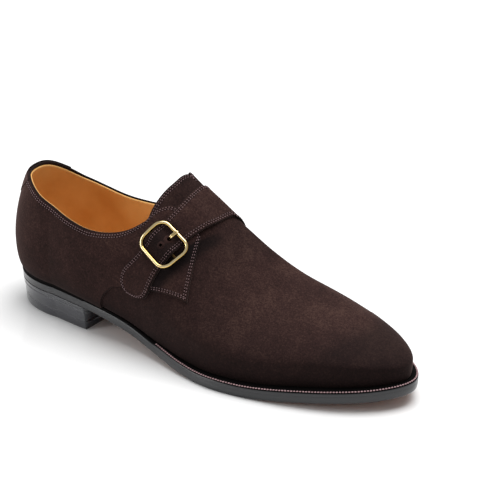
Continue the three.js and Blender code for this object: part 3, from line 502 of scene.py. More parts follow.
def thread(name, dark, light):
    """Waxed thread: its twist is drawn as a fine noise of 0.8 mm."""
    material, tree, shader = start(name, Roughness=0.62, Specular_IOR_Level=0.35, Sheen_Weight=0.15)
    place = node(tree, "ShaderNodeTexCoord").outputs["Object"]
    twist = node(tree, "ShaderNodeTexNoise", {"Vector": place}, Scale=per_mm(0.8), Detail=2.0)
    tree.links.new(ramp(tree, twist.outputs["Fac"], ((0.3, dark), (0.7, light))), shader.inputs["Base Color"])
    bump = node(tree, "ShaderNodeBump", {"Height": twist.outputs["Fac"]}, Strength=0.4, Distance=0.08 * MM)
    tree.links.new(bump.outputs["Normal"], shader.inputs["Normal"])
    return material


brown_thread = thread("waxed_thread_brown", "#4b3839", "#765a5c")
welt_thread = thread("waxed_thread_welt", "#8c6d6e", "#c29fa3")


def brass_painted_by_crown(name, stops, low, high):
    """Brass whose colour is painted by the crown attribute: a painted highlight on the crown of the wire and painted
    dark reflections on its sides; fine swirl marks of 3 mm vary the roughness between low and high, and hardly the
    form."""
    material, tree, shader = start(name, Metallic=1.0)
    crown = node(tree, "ShaderNodeAttribute", attribute_name="crown")
    tree.links.new(ramp(tree, crown.outputs["Fac"], stops), shader.inputs["Base Color"])
    place = node(tree, "ShaderNodeTexCoord").outputs["Object"]
    swirl = node(tree, "ShaderNodeTexNoise", {"Vector": place}, Scale=per_mm(3), Detail=4.0, Roughness=0.6)
    gloss = node(tree, "ShaderNodeMapRange", {"Value": swirl.outputs["Fac"]})
    gloss.inputs["To Min"].default_value, gloss.inputs["To Max"].default_value = low, high
    tree.links.new(gloss.outputs["Result"], shader.inputs["Roughness"])
    bump = node(tree, "ShaderNodeBump", {"Height": swirl.outputs["Fac"]}, Strength=0.03, Distance=0.04 * MM)
    tree.links.new(bump.outputs["Normal"], shader.inputs["Normal"])
    return material


brass_with_painted_highlight = brass_painted_by_crown("polished_pale_brass", ((0.2, "#33240d"), (0.64, "#8a6829"), (0.87, "#cfae64"),
                                                  (1.0, "#f3e2b6")), 0.1, 0.18)
# The bar's brass is painted dark: painted shade for its place under the strap.
bar_brass_with_painted_shade = brass_painted_by_crown("dark_brass_with_painted_shade", ((0.2, "#2a1f10"), (0.8, "#3a2c18")), 0.45, 0.6)

# %% [markdown]
# ## Laying out the pattern
#
# A pattern cutter draws each panel's outline. Here an outline is a few places seen from the side, as shares
# of the length and of the instep height above the welt. `find` walks to the spot on the last that has
# those two measures: it tries a small step in s and in w, sees how the measures change, and solves for both.


# %% Finding places on the last
def find(measure, wanted, s, w, low=0.0, high=2.0):
    """Newton's method in two unknowns: the change of both measures with s and w gives the next guess."""
    small = 1e-3
    for turn in range(12):
        here = measure(s, w)
        by_s = (measure(s + small, w) - here) / small
        by_w = (measure(s, w + small) - here) / small
        miss = wanted - here
        size = by_s[..., 0] * by_w[..., 1] - by_s[..., 1] * by_w[..., 0]
        size = np.where(np.abs(size) < 1e-3, 1e-3, size)
        step_s = (miss[..., 0] * by_w[..., 1] - miss[..., 1] * by_w[..., 0]) / size
        step_w = (by_s[..., 0] * miss[..., 1] - by_s[..., 1] * miss[..., 0]) / size
        s = s + np.clip(step_s, -0.2, 0.2)
        w = np.clip(w + np.clip(step_w, -0.1, 0.1), low, high)
    return s, w


def side_view(lift):
    """The two measures seen from the side: x and z of the last grown by a lift."""
    return lambda s, w: skin(s, w, np.full(np.shape(s), float(lift)))[..., [0, 2]]


LATERAL, MEDIAL = -1, 1
RIDGE = None


def locate(places, side, lift=0.0):
    """Stations (s, w) of places given as shares; RIDGE as the height means on the ridge."""
    at = np.array([place[0] for place in places])
    on_ridge = np.array([place[1] is RIDGE for place in places])
    up = np.array([0.5 if place[1] is RIDGE else place[1] for place in places])
    target = np.stack([at * LENGTH, seat(at) + up * INSTEP_HEIGHT], -1)
    limits = (0.0, 0.995) if side == LATERAL else (1.005, 2.0)
    s, w = find(side_view(lift), target, share(at), np.full(at.shape, 0.55 if side == LATERAL else 1.45), *limits)
    ridge_s, crown = share(at), np.ones(at.shape)
    for turn in range(6):
        ridge_s = ridge_s + (target[:, 0] - skin(ridge_s, crown, crown * lift)[:, 0]) / LENGTH
    return list(zip(np.where(on_ridge, ridge_s, s).tolist(), np.where(on_ridge, 1.0, w).tolist()))


def smooth_line(stations, count):
    """A smooth line through stations, evenly spread along its length on the last."""
    stations = np.array(stations, float)
    spots = last(stations[:, 0], stations[:, 1])
    length = np.concatenate([[0], np.cumsum(np.linalg.norm(np.diff(spots, axis=0), axis=1) + 1e-6)])
    even = np.linspace(0, length[-1], count)
    if len(stations) == 2:
        return np.stack([np.interp(even, length, stations[:, k]) for k in (0, 1)], -1)
    return np.stack([through(length, stations[:, k])(even) for k in (0, 1)], -1)


def top_line(side, s, lift=0.0):
    """Where the ribs at s meet the collar's height: the rib is halved again and again about the crossing.
    Towards the back seam both sides take the mean of their two heights."""
    own, other = ("medial", "lateral") if side == MEDIAL else ("lateral", "medial")
    at_back = 0.5 * (1 - ease(s, 0, 0.5))
    low, high = np.full(s.shape, 0.15), np.full(s.shape, 0.97)
    for turn in range(40):
        middle = (low + high) / 2
        spot = skin(s, middle if side == LATERAL else 2 - middle, np.full(s.shape, lift))
        at = spot[..., 0] / LENGTH
        height = COLLAR[own](at) + (COLLAR[other](at) - COLLAR[own](at)) * at_back
        under = spot[..., 2] < seat(at) + height * INSTEP_HEIGHT
        low, high = np.where(under, middle, low), np.where(under, high, middle)
    return np.stack([s, low if side == LATERAL else 2 - low], -1)


def collar_run(side, start_at, end_at, count, lift=0.0):
    """The collar from one share of the length to another; a start of 0 is the back seam."""
    def station(at):
        """The station s of the collar's spot at a share of the length."""
        if at == 0:
            return 0.0
        height = COLLAR["medial" if side == MEDIAL else "lateral"](at)
        return locate([(at, float(height))], side, lift)[0][0]

    return top_line(side, np.linspace(station(start_at), station(end_at), count), lift)


# %% [markdown]
# ## Cutting the leather
#
# A panel is a grid between two lines on the last, its bottom and its top. The leather has a thickness, and
# its cut edge is slightly rounded: along every free edge the surface drops to the piece below over eight
# tenths of a millimetre. An open sheet with a Solidify modifier would be quicker, but its edge would be a sharp step.

# %% A panel with thickness and cut edges
SHADE_MIDDLE = np.array(last(*locate([(0.4435, 0.603)], LATERAL)[0]))
SHADE_ALONG = unit(np.array([0.487, 0.35, 0.660]))
SHADE_DOWN = unit(np.array([0.80, -0.25, -0.46]))
CUT_DISTANCE = np.array([0, 0, 0.07, 0.2, 0.42, 0.8])
CUT_HEIGHT = np.array([0, 0.5, 0.76, 0.92, 1.0, 1.0])
SEAM_DISTANCE, SEAM_HEIGHT = np.array([0, 0.3, 0.7]), np.array([0.72, 0.95, 1.0])
# Distances from an edge that are too large for any ink to show
FAR, NO_EDGE = 99.0, 9.0


def spread(length, step, free_start=True, free_end=True):
    """Places along a length with the cut edge's steps at its free ends, and the height that each has."""
    room = min(1.0, length / 4)
    head = CUT_DISTANCE * room if free_start else SEAM_DISTANCE
    tail = length - (CUT_DISTANCE * room if free_end else np.array([0.0]))
    inner = max(int((tail[-1] - head[-1]) / step), 2)
    middle = np.linspace(head[-1], tail[-1], inner + 1)[1:-1]
    first = CUT_HEIGHT if free_start else SEAM_HEIGHT
    final = CUT_HEIGHT[::-1] if free_end else np.ones(1)
    return np.concatenate([head, middle, tail[::-1]]), np.concatenate([first, np.ones(len(middle)), final])


def run_length(line):
    """Distance walked along a line of stations, in millimetres."""
    spots = last(line[:, 0], line[:, 1])
    return np.concatenate([[0], np.cumsum(np.linalg.norm(np.diff(spots, axis=0), axis=1))])


def clear_of_low_shade(spot, w):
    """The painted shade near the sole climbs far up the forefoot only: behind the arch half a unit is added to w
    above the feather, and towards the toe's tip nearly one unit is taken off, so the painted shade reaches highest
    there."""
    behind = 0.5 * ease(spot[..., 0], 0.58 * LENGTH, 0.30 * LENGTH) * ease(w, 0.05, 0.14)
    tip = 0.9 * ease(spot[..., 0], 0.80 * LENGTH, 0.95 * LENGTH)
    return np.maximum(w + behind - tip, np.minimum(w, 0.12))


def shaded(spot):
    """How much a spot of the last lies under the strap's lower edge: 1 at the edge, fading over 15 mm."""
    offset = spot - SHADE_MIDDLE
    below = offset @ SHADE_DOWN - 11.5
    reach = ease(offset @ SHADE_ALONG, -36, -22) * ease(offset @ SHADE_ALONG, 36, 20)
    return ease(below, -4, 0) * ease(below, 15, 1.5) * reach * (spot[..., 1] < 4)


def near_buckle(spot):
    """How much painted shade the buckle casts on a spot of the strap: 0.62 at its middle, a bell curve along."""
    along = (spot - SHADE_MIDDLE) @ SHADE_ALONG
    return 0.62 * np.exp(-((along + 1) / 15) ** 2) * (spot[..., 1] < 4)


def panel(name, bottom, top, lift, thickness, material, step=1.1, start_free=True, end_free=True,
          relief=None, under=None, shade=None):
    """A panel between two matched lines. Each point lies on the straight line, in s and w, between its
    spots on bottom and top; its height is lift plus thickness times the rounded cut edge's share."""
    width = np.linalg.norm(last(bottom[:, 0], bottom[:, 1]) - last(top[:, 0], top[:, 1]), axis=-1)
    walked = (run_length(bottom) + run_length(top)) / 2
    columns, end_rise = spread(walked[-1], step, start_free, end_free)
    bottom = np.stack([np.interp(columns, walked, bottom[:, k]) for k in (0, 1)], -1)
    top = np.stack([np.interp(columns, walked, top[:, k]) for k in (0, 1)], -1)
    width = np.interp(columns, walked, width)
    widest = width.max()
    rows, rise = spread(widest, step)
    near = rows < widest / 2
    share_row = np.where(near[:, None], rows[:, None] / width, 1 - (widest - rows[:, None]) / width)
    even = (rows / widest)[:, None]
    edge_zone = np.clip(np.minimum(rows, widest - rows)[:, None] / (0.35 * np.minimum(width, 12)), 0, 1)
    q = np.clip(share_row * (1 - edge_zone) + even * edge_zone, 0, 1)
    s = bottom[:, 0] + (top[:, 0] - bottom[:, 0]) * q
    w = bottom[:, 1] + (top[:, 1] - bottom[:, 1]) * q
    height = np.minimum(rise[:, None], end_rise)
    spot = last(s, w)
    base = lift(spot) if callable(lift) else np.full(s.shape, float(lift))
    floor = under(spot, q, width) if under else base
    above = relief(spot, q, width) if relief else 0.0
    outer = skin(s, w, floor + (base + thickness + above - floor) * height)
    inner = skin(s, w, floor)
    from_start = columns if start_free else np.full_like(columns, FAR)
    ends = np.minimum(from_start, columns[-1] - columns if end_free else FAR)
    edge = np.minimum(np.minimum(q, 1 - q) * width, ends)
    count = s.size
    faces = np.concatenate([grid_faces(*s.shape), grid_faces(*s.shape)[:, ::-1] + count])
    points = np.concatenate([outer.reshape(-1, 3), inner.reshape(-1, 3)])
    low = clear_of_low_shade(spot, np.minimum(w, 2 - w)).ravel()
    return make_piece(name, points, faces, material, {"edge": np.concatenate([edge.ravel(), edge.ravel()]),
                                                      "climb": np.concatenate([low, low]),
                                                      "shade": np.tile((shade(spot) if shade else 0 * s).ravel(), 2)})


def joined(*lines):
    """Lines of stations laid end to end; the shared spot is kept once."""
    return np.concatenate([lines[0]] + [line[1:] for line in lines[1:]])


# %% [markdown]
# ## The outer quarter
#
# The outer quarter is one piece of suede from the back seam to a pointed flap over the vamp. It could be
# draped as a flat sheet; two lines on the last, one for its lower and one for its upper edge, give the same
# shape and stay easy to move. Along the collar its edge is pared and folded in beside the lining.

# %% The outer quarter
FEATHER = {LATERAL: 0.02, MEDIAL: 1.98}
SIDE_SEAM = {LATERAL: [(0.299, 0.028), (0.306, 0.09), (0.325, 0.172), (0.357, 0.239), (0.397, 0.293)],
             MEDIAL: [(0.300, 0.02), (0.315, 0.107), (0.331, 0.15), (0.358, 0.19), (0.397, 0.244)]}
LATERAL_FLAP = {"bottom": [(0.397, 0.293), (0.440, 0.336), (0.490, 0.371), (0.514, 0.374), (0.532, 0.367)],
                "top": [(0.391, 0.694), (0.408, 0.775), (0.428, 0.806), (0.464, 0.775), (0.505, 0.680)]}


def feather_run(side, end_at, count):
    """Stations along the feather line, from the back seam to a share of the length."""
    return np.stack([np.linspace(0, float(share(end_at)), count), np.full(count, FEATHER[side])], -1)


def collar_fold(spot, q, width):
    """Along the collar the edge is folded in: the leather reaches down beside the lining there."""
    behind = ease(spot[..., 0], 0.40 * LENGTH, 0.36 * LENGTH)
    return 0.05 - 0.9 * ease((1 - q) * width, 7, 1) * behind


def skived(spot, q, width):
    """The collar's edge is pared thin before it is folded: the last four millimetres lose half their height."""
    behind = ease(spot[..., 0], 0.40 * LENGTH, 0.36 * LENGTH)
    return -0.85 * ease((1 - q) * width, 4, 0.4) * behind


SEAM_AT = 0.299
quarter_lift = SUEDE_THICKNESS


def side_seam(side):
    """The seam from the feather line up to the flap, smooth through the table's places."""
    foot = [(float(share(SEAM_AT)), FEATHER[side])]
    return smooth_line(foot + locate(SIDE_SEAM[side], side, quarter_lift), 40)


outer_bottom = joined(feather_run(LATERAL, SEAM_AT, 60), side_seam(LATERAL),
                      smooth_line(locate(LATERAL_FLAP["bottom"], LATERAL, quarter_lift), 50))
outer_top = joined(collar_run(LATERAL, 0, 0.262, 60, quarter_lift),
                   collar_run(LATERAL, 0.262, 0.391, 40, quarter_lift),
                   smooth_line(locate(LATERAL_FLAP["top"], LATERAL, quarter_lift), 50))
lateral_quarter = panel("lateral_quarter_suede", outer_bottom, outer_top, 0.05, quarter_lift, brown_suede,
                        start_free=False, under=collar_fold, relief=skived, shade=shaded)
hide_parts("lateral_quarter")

# %% [markdown]
# ## The buckle's place
#
# The strap has to arch over the buckle's hidden bar, so the buckle's own little frame comes before the
# strap: a spot on the last, the direction along the strap, the direction across it, and straight out.

# %% A small frame of reference for the buckle
BUCKLE_LENGTH, BUCKLE_WIDTH, BUCKLE_CORNER, FRAME_WIDTH, FRAME_HEIGHT = 23.0, 28.4, 6.4, 2.5, 2.2
BAR_DIAMETER, PRONG_ROOT, PRONG_DIAMETER, TAB_THICKNESS = 1.6, 0.9, 1.5, 0.6
STRAP_THICKNESS = 1.6
BAR_SPACING, SIDE_SPACING = (BUCKLE_LENGTH - FRAME_WIDTH) / 2, (BUCKLE_WIDTH - FRAME_WIDTH) / 2
STRAP_LIFT = GAP + SUEDE_THICKNESS + GAP
BAR_LIFT = STRAP_LIFT + TAB_THICKNESS + GAP + PRONG_ROOT / 2 + BAR_DIAMETER / 2 - 0.25
STRAP_RISE = BAR_LIFT + BAR_DIAMETER / 2 + GAP - STRAP_LIFT
RISE_HALF = 8.4
FRAME_LIFT = STRAP_LIFT + STRAP_THICKNESS + 2 * GAP + FRAME_HEIGHT / 2
HOLE_AT = 5.2
BUCKLE_SHIFT = np.array([0.9, 0.0, -0.1])
buckle_station = np.array(locate([(0.4435, 0.603)], LATERAL)[0])
centre = last(*buckle_station) + BUCKLE_SHIFT
outward = last_normal(*buckle_station)
along_strap = unit(np.array([0.487, -(outward[0] * 0.487 + outward[2] * 0.660) / outward[1], 0.660]))
across_strap = np.cross(outward, along_strap)
print("buckle centre in mm:", np.round(centre, 1).tolist())


def buckle_spots(a, b, lift):
    """Spots at distances a along and b across the strap from the buckle's middle, at a lift over the last."""
    def measure(s, w):
        """How far a spot lies along and across the strap from the buckle's middle."""
        offset = last(s, w) - centre
        return np.stack([offset @ along_strap, offset @ across_strap], -1)

    a, b = np.broadcast_arrays(np.asarray(a, float), np.asarray(b, float))
    from_s, from_w = (np.full(a.shape, value) for value in buckle_station)
    s, w = find(measure, np.stack([a, b], -1), from_s, from_w)
    return skin(s, w, np.broadcast_to(np.asarray(lift, float), a.shape)), last_normal(s, w)


def strap_height(spot):
    """The strap climbs from the last onto the outer quarter, and arches over the bar as a squared cosine."""
    t = np.clip((5 - spot[..., 1]) / 10, 0, 1)
    climb = 0.05 + (STRAP_LIFT - 0.35) * t * t * (3 - 2 * t) * (spot[..., 0] > 0.3 * LENGTH)
    offset = spot - centre
    a, b = offset @ along_strap, offset @ across_strap
    near = (np.abs(a) < RISE_HALF) & (np.abs(b) < BUCKLE_WIDTH)
    arch = np.where(near, np.cos(np.clip(a / RISE_HALF, -1, 1) * math.pi / 2) ** 2, 0)
    return climb + STRAP_RISE * arch


# %% [markdown]
# ## The inner quarter and the strap
#
# On this shoe both are one piece: the inner quarter climbs over the instep and ends as the strap on the
# outer side. So its two lines simply go on over the ridge, and its height follows what lies under it, first
# the outer quarter and then the buckle's bar.

# %% The inner quarter, which runs on as the strap
INNER_FLAP = [(0.397, 0.244), (0.434, 0.279), (0.497, 0.326), (0.520, 0.336)]
INNER_FRONT = [(0.520, 0.336), (0.524, 0.403), (0.531, 0.555), (0.535, 0.650), (0.532, 0.740), (0.530, RIDGE)]
INNER_BACK = [(0.391, 0.671), (0.402, 0.700), (0.414, 0.727)]
OVER_BACK = [(0.414, 0.727), (0.434, 0.784), (0.449, 0.845), (0.454, RIDGE)]
STRAP_LOWER = [(0.530, RIDGE), (0.523, 0.772), (0.508, 0.740), (0.490, 0.678), (0.474, 0.590), (0.457, 0.500),
               (0.442, 0.370)]
STRAP_UPPER = [(0.454, RIDGE), (0.447, 0.840), (0.433, 0.745), (0.417, 0.648), (0.400, 0.545), (0.380, 0.447),
               (0.368, 0.398)]
TIP_LOWER = [(0.442, 0.370), (0.439, 0.330), (0.432, 0.288), (0.414, 0.256), (0.392, 0.248)]
TIP_UPPER = [(0.368, 0.398), (0.363, 0.361), (0.361, 0.321), (0.364, 0.281), (0.375, 0.255)]
strap_top = STRAP_LIFT + STRAP_THICKNESS
inner_bottom = joined(feather_run(MEDIAL, SEAM_AT, 60), side_seam(MEDIAL),
                      smooth_line(locate(INNER_FLAP, MEDIAL, quarter_lift), 40),
                      smooth_line(locate(INNER_FRONT, MEDIAL, quarter_lift), 60),
                      smooth_line(locate(STRAP_LOWER, LATERAL, strap_top), 90),
                      smooth_line(locate(TIP_LOWER, LATERAL, strap_top), 24))
inner_top = joined(collar_run(MEDIAL, 0, 0.262, 60, quarter_lift),
                   collar_run(MEDIAL, 0.262, 0.391, 40, quarter_lift),
                   smooth_line(locate(INNER_BACK, MEDIAL, quarter_lift), 40),
                   smooth_line(locate(OVER_BACK, MEDIAL, quarter_lift), 60),
                   smooth_line(locate(STRAP_UPPER, LATERAL, strap_top), 90),
                   smooth_line(locate(TIP_UPPER, LATERAL, strap_top), 24))


def strap_under(spot, q, width):
    """The underside follows the strap's height, and at the collar it folds in beside the lining."""
    return strap_height(spot) + (collar_fold(spot, q, width) - 0.05) * (q > 0.5)


strap = panel("medial_quarter_and_strap_suede", inner_bottom, inner_top, strap_height, STRAP_THICKNESS, brown_suede,
              start_free=False, under=strap_under, relief=skived, shade=near_buckle)
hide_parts("medial_quarter_and_strap")

# %% [markdown]
# ## The tongue
#
# The tongue is a leaf of suede under the strap, whose free end stands up a little. It is a panel like the
# others, with both lines climbing over the ridge from one side to the other.

# %% The tongue
TONGUE_BACK = [(0.394, 0.60), (0.392, 0.694), (0.393, 0.748), (0.398, 0.815), (0.408, 0.887), (0.420, 0.945),
               (0.427, RIDGE)]
TONGUE_FRONT = [(0.450, 0.60), (0.462, 0.70), (0.475, 0.76), (0.490, RIDGE)]


def both_sides(places, lift, count):
    """A line that climbs the outer side to the ridge and goes down the inner side in the same way."""
    outer = locate(places, LATERAL, lift)
    inner = [(s, w) for s, w in locate(places[:-1], MEDIAL, lift)][::-1]
    return smooth_line(outer + inner, count)


def tongue_lift(spot):
    """The tongue's free end stands up a little from the instep at the ridge, and not at its sides."""
    up = (spot[..., 2] - seat(spot[..., 0] / LENGTH)) / INSTEP_HEIGHT
    return -1.0 + 1.5 * ease(spot[..., 0], 0.454 * LENGTH, 0.412 * LENGTH) * ease(up, 0.55, 0.98)


tongue_top, tongue_root = both_sides(TONGUE_BACK, 0, 120), both_sides(TONGUE_FRONT, 0, 120)
peak = np.arange(56, 64)
tongue_top[peak, 0] = tongue_top[peak, 0] * 0.3 + 0.7 * np.linspace(tongue_top[56, 0], tongue_top[63, 0], 8)
# The tongue carries an even painted shade of 0.45 all over, for lying under the strap.
tongue = panel("tongue_suede", tongue_top, tongue_root, tongue_lift, 1.6, brown_suede,
               shade=lambda spot: 0.45 + 0 * spot[..., 0])
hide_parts("tongue")


# %% [markdown]
# ## The vamp
#
# The vamp is one plain piece round the front of the foot. It is a grid over that part of the last. Cells
# that lie behind the tongue are left out, and a Solidify modifier gives the sheet its wall.

# %% The vamp
def vamp_shade(spot):
    """The strap's shade on the vamp, and round it a wider, weaker one that fades over four centimetres."""
    below = (spot - SHADE_MIDDLE) @ SHADE_DOWN
    return np.maximum(0.8 * shaded(spot), 0.36 * ease(below, 62, 20))


vamp_s = np.concatenate([np.linspace(float(share(0.285)), 2, 210)[:-1], np.linspace(2, 3, 90)])
vamp_w = np.concatenate([np.linspace(0, LOWER, 16)[:-1], np.linspace(LOWER, 1, 76)])
vamp_w = np.concatenate([vamp_w, (2 - vamp_w[:-1])[::-1]])
grid_w, grid_s = np.meshgrid(vamp_w, vamp_s, indexing="ij")
vamp_points = skin(grid_s, grid_w, np.zeros(grid_s.shape))
cells = grid_faces(*grid_s.shape)
hidden = (grid_s.ravel()[cells].max(1) < float(share(0.483))) & (np.abs(grid_w.ravel()[cells] - 1).max(1) < 0.58)
vamp_spots = last(grid_s, grid_w)
vamp_climb = clear_of_low_shade(vamp_spots, np.minimum(grid_w, 2 - grid_w))
vamp = make_piece("vamp_suede", vamp_points, cells[~hidden], brown_suede,
                  {"edge": np.full(grid_s.size, NO_EDGE), "climb": vamp_climb.ravel(),
                   "shade": vamp_shade(vamp_spots).ravel()}, outward=False, solid=1.0)
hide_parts("upper")


# %% [markdown]
# ## The lining
#
# Smooth calf lines the shoe. It is the same last grown inwards, so it follows the suede at an even
# distance, and a Solidify modifier gives it its wall.

# %% The lining
LINING_TUCK = 1.1


def lining_top(side, s):
    """The lining ends a little under the collar behind the throat, and at the tongue's edge before it."""
    cut = top_line(side, s, -WALL)[:, 1]
    under = 0.008 * (1 if side == LATERAL else -1)
    middle = len(tongue_top) // 2
    half = tongue_top[:middle] if side == LATERAL else tongue_top[middle:]
    half = half[np.argsort(half[:, 0])]
    front = np.interp(s, half[:, 0], half[:, 1])
    line = cut - under + (front - cut) * ease(s, float(share(0.391)), float(share(0.391)) + 0.02)
    return np.where(s > half[:, 0].max(), 1.0, line)


half_s = np.concatenate([np.linspace(0, 1, 40)[:-1], np.linspace(1, float(share(0.43)), 90)[:-1],
                         np.linspace(float(share(0.43)), 2, 50)])
rows_up = np.linspace(0, 1, 46)[:, None]
lining_s, lining_w = [], []
for side in (LATERAL, MEDIAL):
    end = lining_top(side, half_s)
    grid = FEATHER[side] + (end - FEATHER[side]) * rows_up
    order = slice(None, None, -1) if side == LATERAL else slice(1, None)
    lining_s.append(np.broadcast_to(half_s, grid.shape)[:, order])
    lining_w.append(grid[:, order])
lining_s, lining_w = np.concatenate(lining_s, 1), np.concatenate(lining_w, 1)
lining = make_piece("calf_lining", skin(lining_s, lining_w, np.full(lining_s.shape, -LINING_TUCK)),
                    grid_faces(*lining_s.shape)[:, ::-1], tan_lining, outward=False, solid=0.85)

# %% [markdown]
# ## The heel tab
#
# A small tab covers the back seam under the collar, where a shoehorn rubs.

# %% The heel tab
tab_s = np.linspace(-0.52, 0.52, 90)
outer_half, inner_half = (top_line(side, np.abs(tab_s), quarter_lift)[:, 1] for side in (LATERAL, MEDIAL))
tab_top = np.where(tab_s >= 0, outer_half, 2 - inner_half)
reach = np.clip(np.abs(tab_s) / 0.52, 0, 1)
tab_depth = 0.125 * (1 - reach ** 2.2) + 0.012
tab_bottom = tab_top - tab_depth
TAB_LEATHER = 0.75


def tab_skive(spot, q, width):
    """The tab is pared along its top and towards its two ends, so it hardly shows as a step."""
    return -0.35 * ease(np.abs(spot[..., 1]), 9, 17) - 0.25 * ease((1 - q) * width, 3, 0.4)


heel_tab = panel("heel_tab_suede", np.stack([tab_s, tab_bottom], -1), np.stack([tab_s, tab_top], -1),
                 quarter_lift, TAB_LEATHER, brown_suede, step=0.8, relief=tab_skive)
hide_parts("heel_tab")

# %% [markdown]
# ## The bottom of the shoe
#
# Welt, rand, outsole, heel and lift are all the sole's outline carried round a profile: each profile point
# says how far it lies inside the edge and how high.


# %% Rings and slabs that follow the sole's edge
def edge_loop(start_at, count):
    """Side and station of points from the outer side round the toe to the inner side."""
    s = np.concatenate([np.linspace(start_at, 2, count), np.linspace(2, 3, count // 2)[1:]])
    return np.concatenate([np.full(len(s), -1.0), np.full(len(s) - 1, 1.0)]), np.concatenate([s, s[:-1][::-1]])


def at_edge(side, s, inset, lift):
    """Points inside the sole's edge by an inset and over the welt's top face by a lift."""
    x, y = sole_edge(side, s)
    out_x, out_y = sole_out(side, s)
    return np.stack([x - inset * out_x, y - inset * out_y, seat(x / LENGTH) + lift], -1)


def ring(name, side, s, profile, materials, relief=None):
    """A closed profile of (inset, lift) carried along stations of the edge; the upright rim, which is the
    profile's first two steps and its last three, has the first of the two materials."""
    rows = []
    for inset, lift in profile:
        inset = inset(side, s) if callable(inset) else np.full(s.shape, float(inset))
        rise = relief(side, s, inset, lift) if relief else 0.0
        rows.append(at_edge(side, s, inset, lift + rise))
    grid = np.stack(rows, 1)
    faces = grid_faces(len(s), len(profile), closed=True)
    points = grid.reshape(-1, 3)
    column = np.arange(len(faces)) % len(profile)
    slots = ((column > 1) & (column < len(profile) - 3)).astype(int)
    k = np.arange(len(profile))
    for first in (0, (len(s) - 1) * len(profile)):
        middle = np.full(len(profile), len(points))
        points = np.concatenate([points, points[first:first + len(profile)].mean(0)[None]])
        faces = np.concatenate([faces, np.stack([first + k, first + (k + 1) % len(profile), middle, middle], -1)])
        slots = np.concatenate([slots, np.zeros(len(profile), int)])
    return make_piece(name, points, faces, materials, slots=slots)


def inner_edge(side, s):
    """The welt reaches a millimetre further in than the feather line."""
    return feather_inset(side, s) + 1.0


STITCH_PITCH = 1.9
WELT_STITCH_INSET = 0.8


def welt_walk(side, s):
    """Distance walked along the sole's edge, seen from above, in millimetres."""
    x, y = sole_edge(side, s)
    return np.concatenate([[0], np.cumsum(np.hypot(np.diff(x), np.diff(y)))])


def wheel_marks(side, s, inset, lift):
    """Marks of the fudge wheel: between stitches the welt's outer rim is pressed down in small notches. At
    the waist the line between the black top and the polished side runs one to two millimetres lower."""
    x = sole_edge(side, s)[0]
    front = np.clip((x - 0.44 * LENGTH) / 25, 0, 1)
    rim = np.exp(-((inset - 0.7) / 0.8) ** 2) * (lift > -0.5)
    notch = 0.5 - 0.5 * np.cos(2 * math.pi * welt_walk(side, s) / STITCH_PITCH)
    waist = (1.1 + 0.8 * ease(x, 0.33 * LENGTH, 0.25 * LENGTH)) * ease(x, 0.50 * LENGTH, 0.42 * LENGTH)
    return -0.28 * front * rim * notch ** 2 - waist * (-1.3 < lift < -0.5)


start_s = float(share((HEEL_LENGTH + GAP) / LENGTH))
welt_side, welt_s = edge_loop(start_s, 620)
TOP_RIM = [(0.0, -1.2), (0.03, -1.05), (0.3, -0.9), (0.3, -0.6), (0.12, -0.35), (0.3, -0.05), (0.7, 0.0), (1.2, 0.0),
           (1.7, 0.0), (2.3, 0.0)]
LOW_RIM = [(0.1, 0.001 - WELT_THICKNESS), (0.02, 0.02 - WELT_THICKNESS), (0.0, 0.1 - WELT_THICKNESS)]
INNER_WALL = [(inner_edge, 0.0), (inner_edge, GAP - WELT_THICKNESS)]
welt = ring("welt_leather", welt_side, welt_s, TOP_RIM + INNER_WALL + LOW_RIM, [black_edge, black_welt_painted_shade],
            relief=wheel_marks)
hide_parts("welt")

# %% [markdown]
# ## The heel rand
#
# Round the heel seat the same strip goes on as the rand, which carries no stitches. It is another ring,
# with a plainer rim.

# %% The heel rand
RAND_POINTS = 120
heel_s = np.linspace(0, float(share(HEEL_LENGTH / LENGTH)), RAND_POINTS)
rand_side = np.concatenate([np.full(RAND_POINTS, -1.0), np.full(RAND_POINTS - 1, 1.0)])
rand_s = np.concatenate([heel_s[::-1], heel_s[1:]])
RAND_RIM = [(0.5, -2.0), (0.45, -1.2), (0.4, -0.6), (0.45, -0.2), (0.7, 0.0), (1.2, 0.0), (2.3, 0.0)]
RAND_FOOT = [(0.6, 0.02 - WELT_THICKNESS), (0.5, 0.1 - WELT_THICKNESS), (0.5, 0.4 - WELT_THICKNESS)]
rand = ring("heel_rand_leather", rand_side, rand_s, RAND_RIM + INNER_WALL + RAND_FOOT, [black_welt_painted_shade, black_welt_painted_shade])
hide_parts("heel_rand")


# %% [markdown]
# ## The outsole
#
# The outsole is a plate of oak-bark leather, blacked on its edge and left tan underneath. A flat plate
# could be bent to the arch afterwards; here each section across the shoe already stands at its own height.

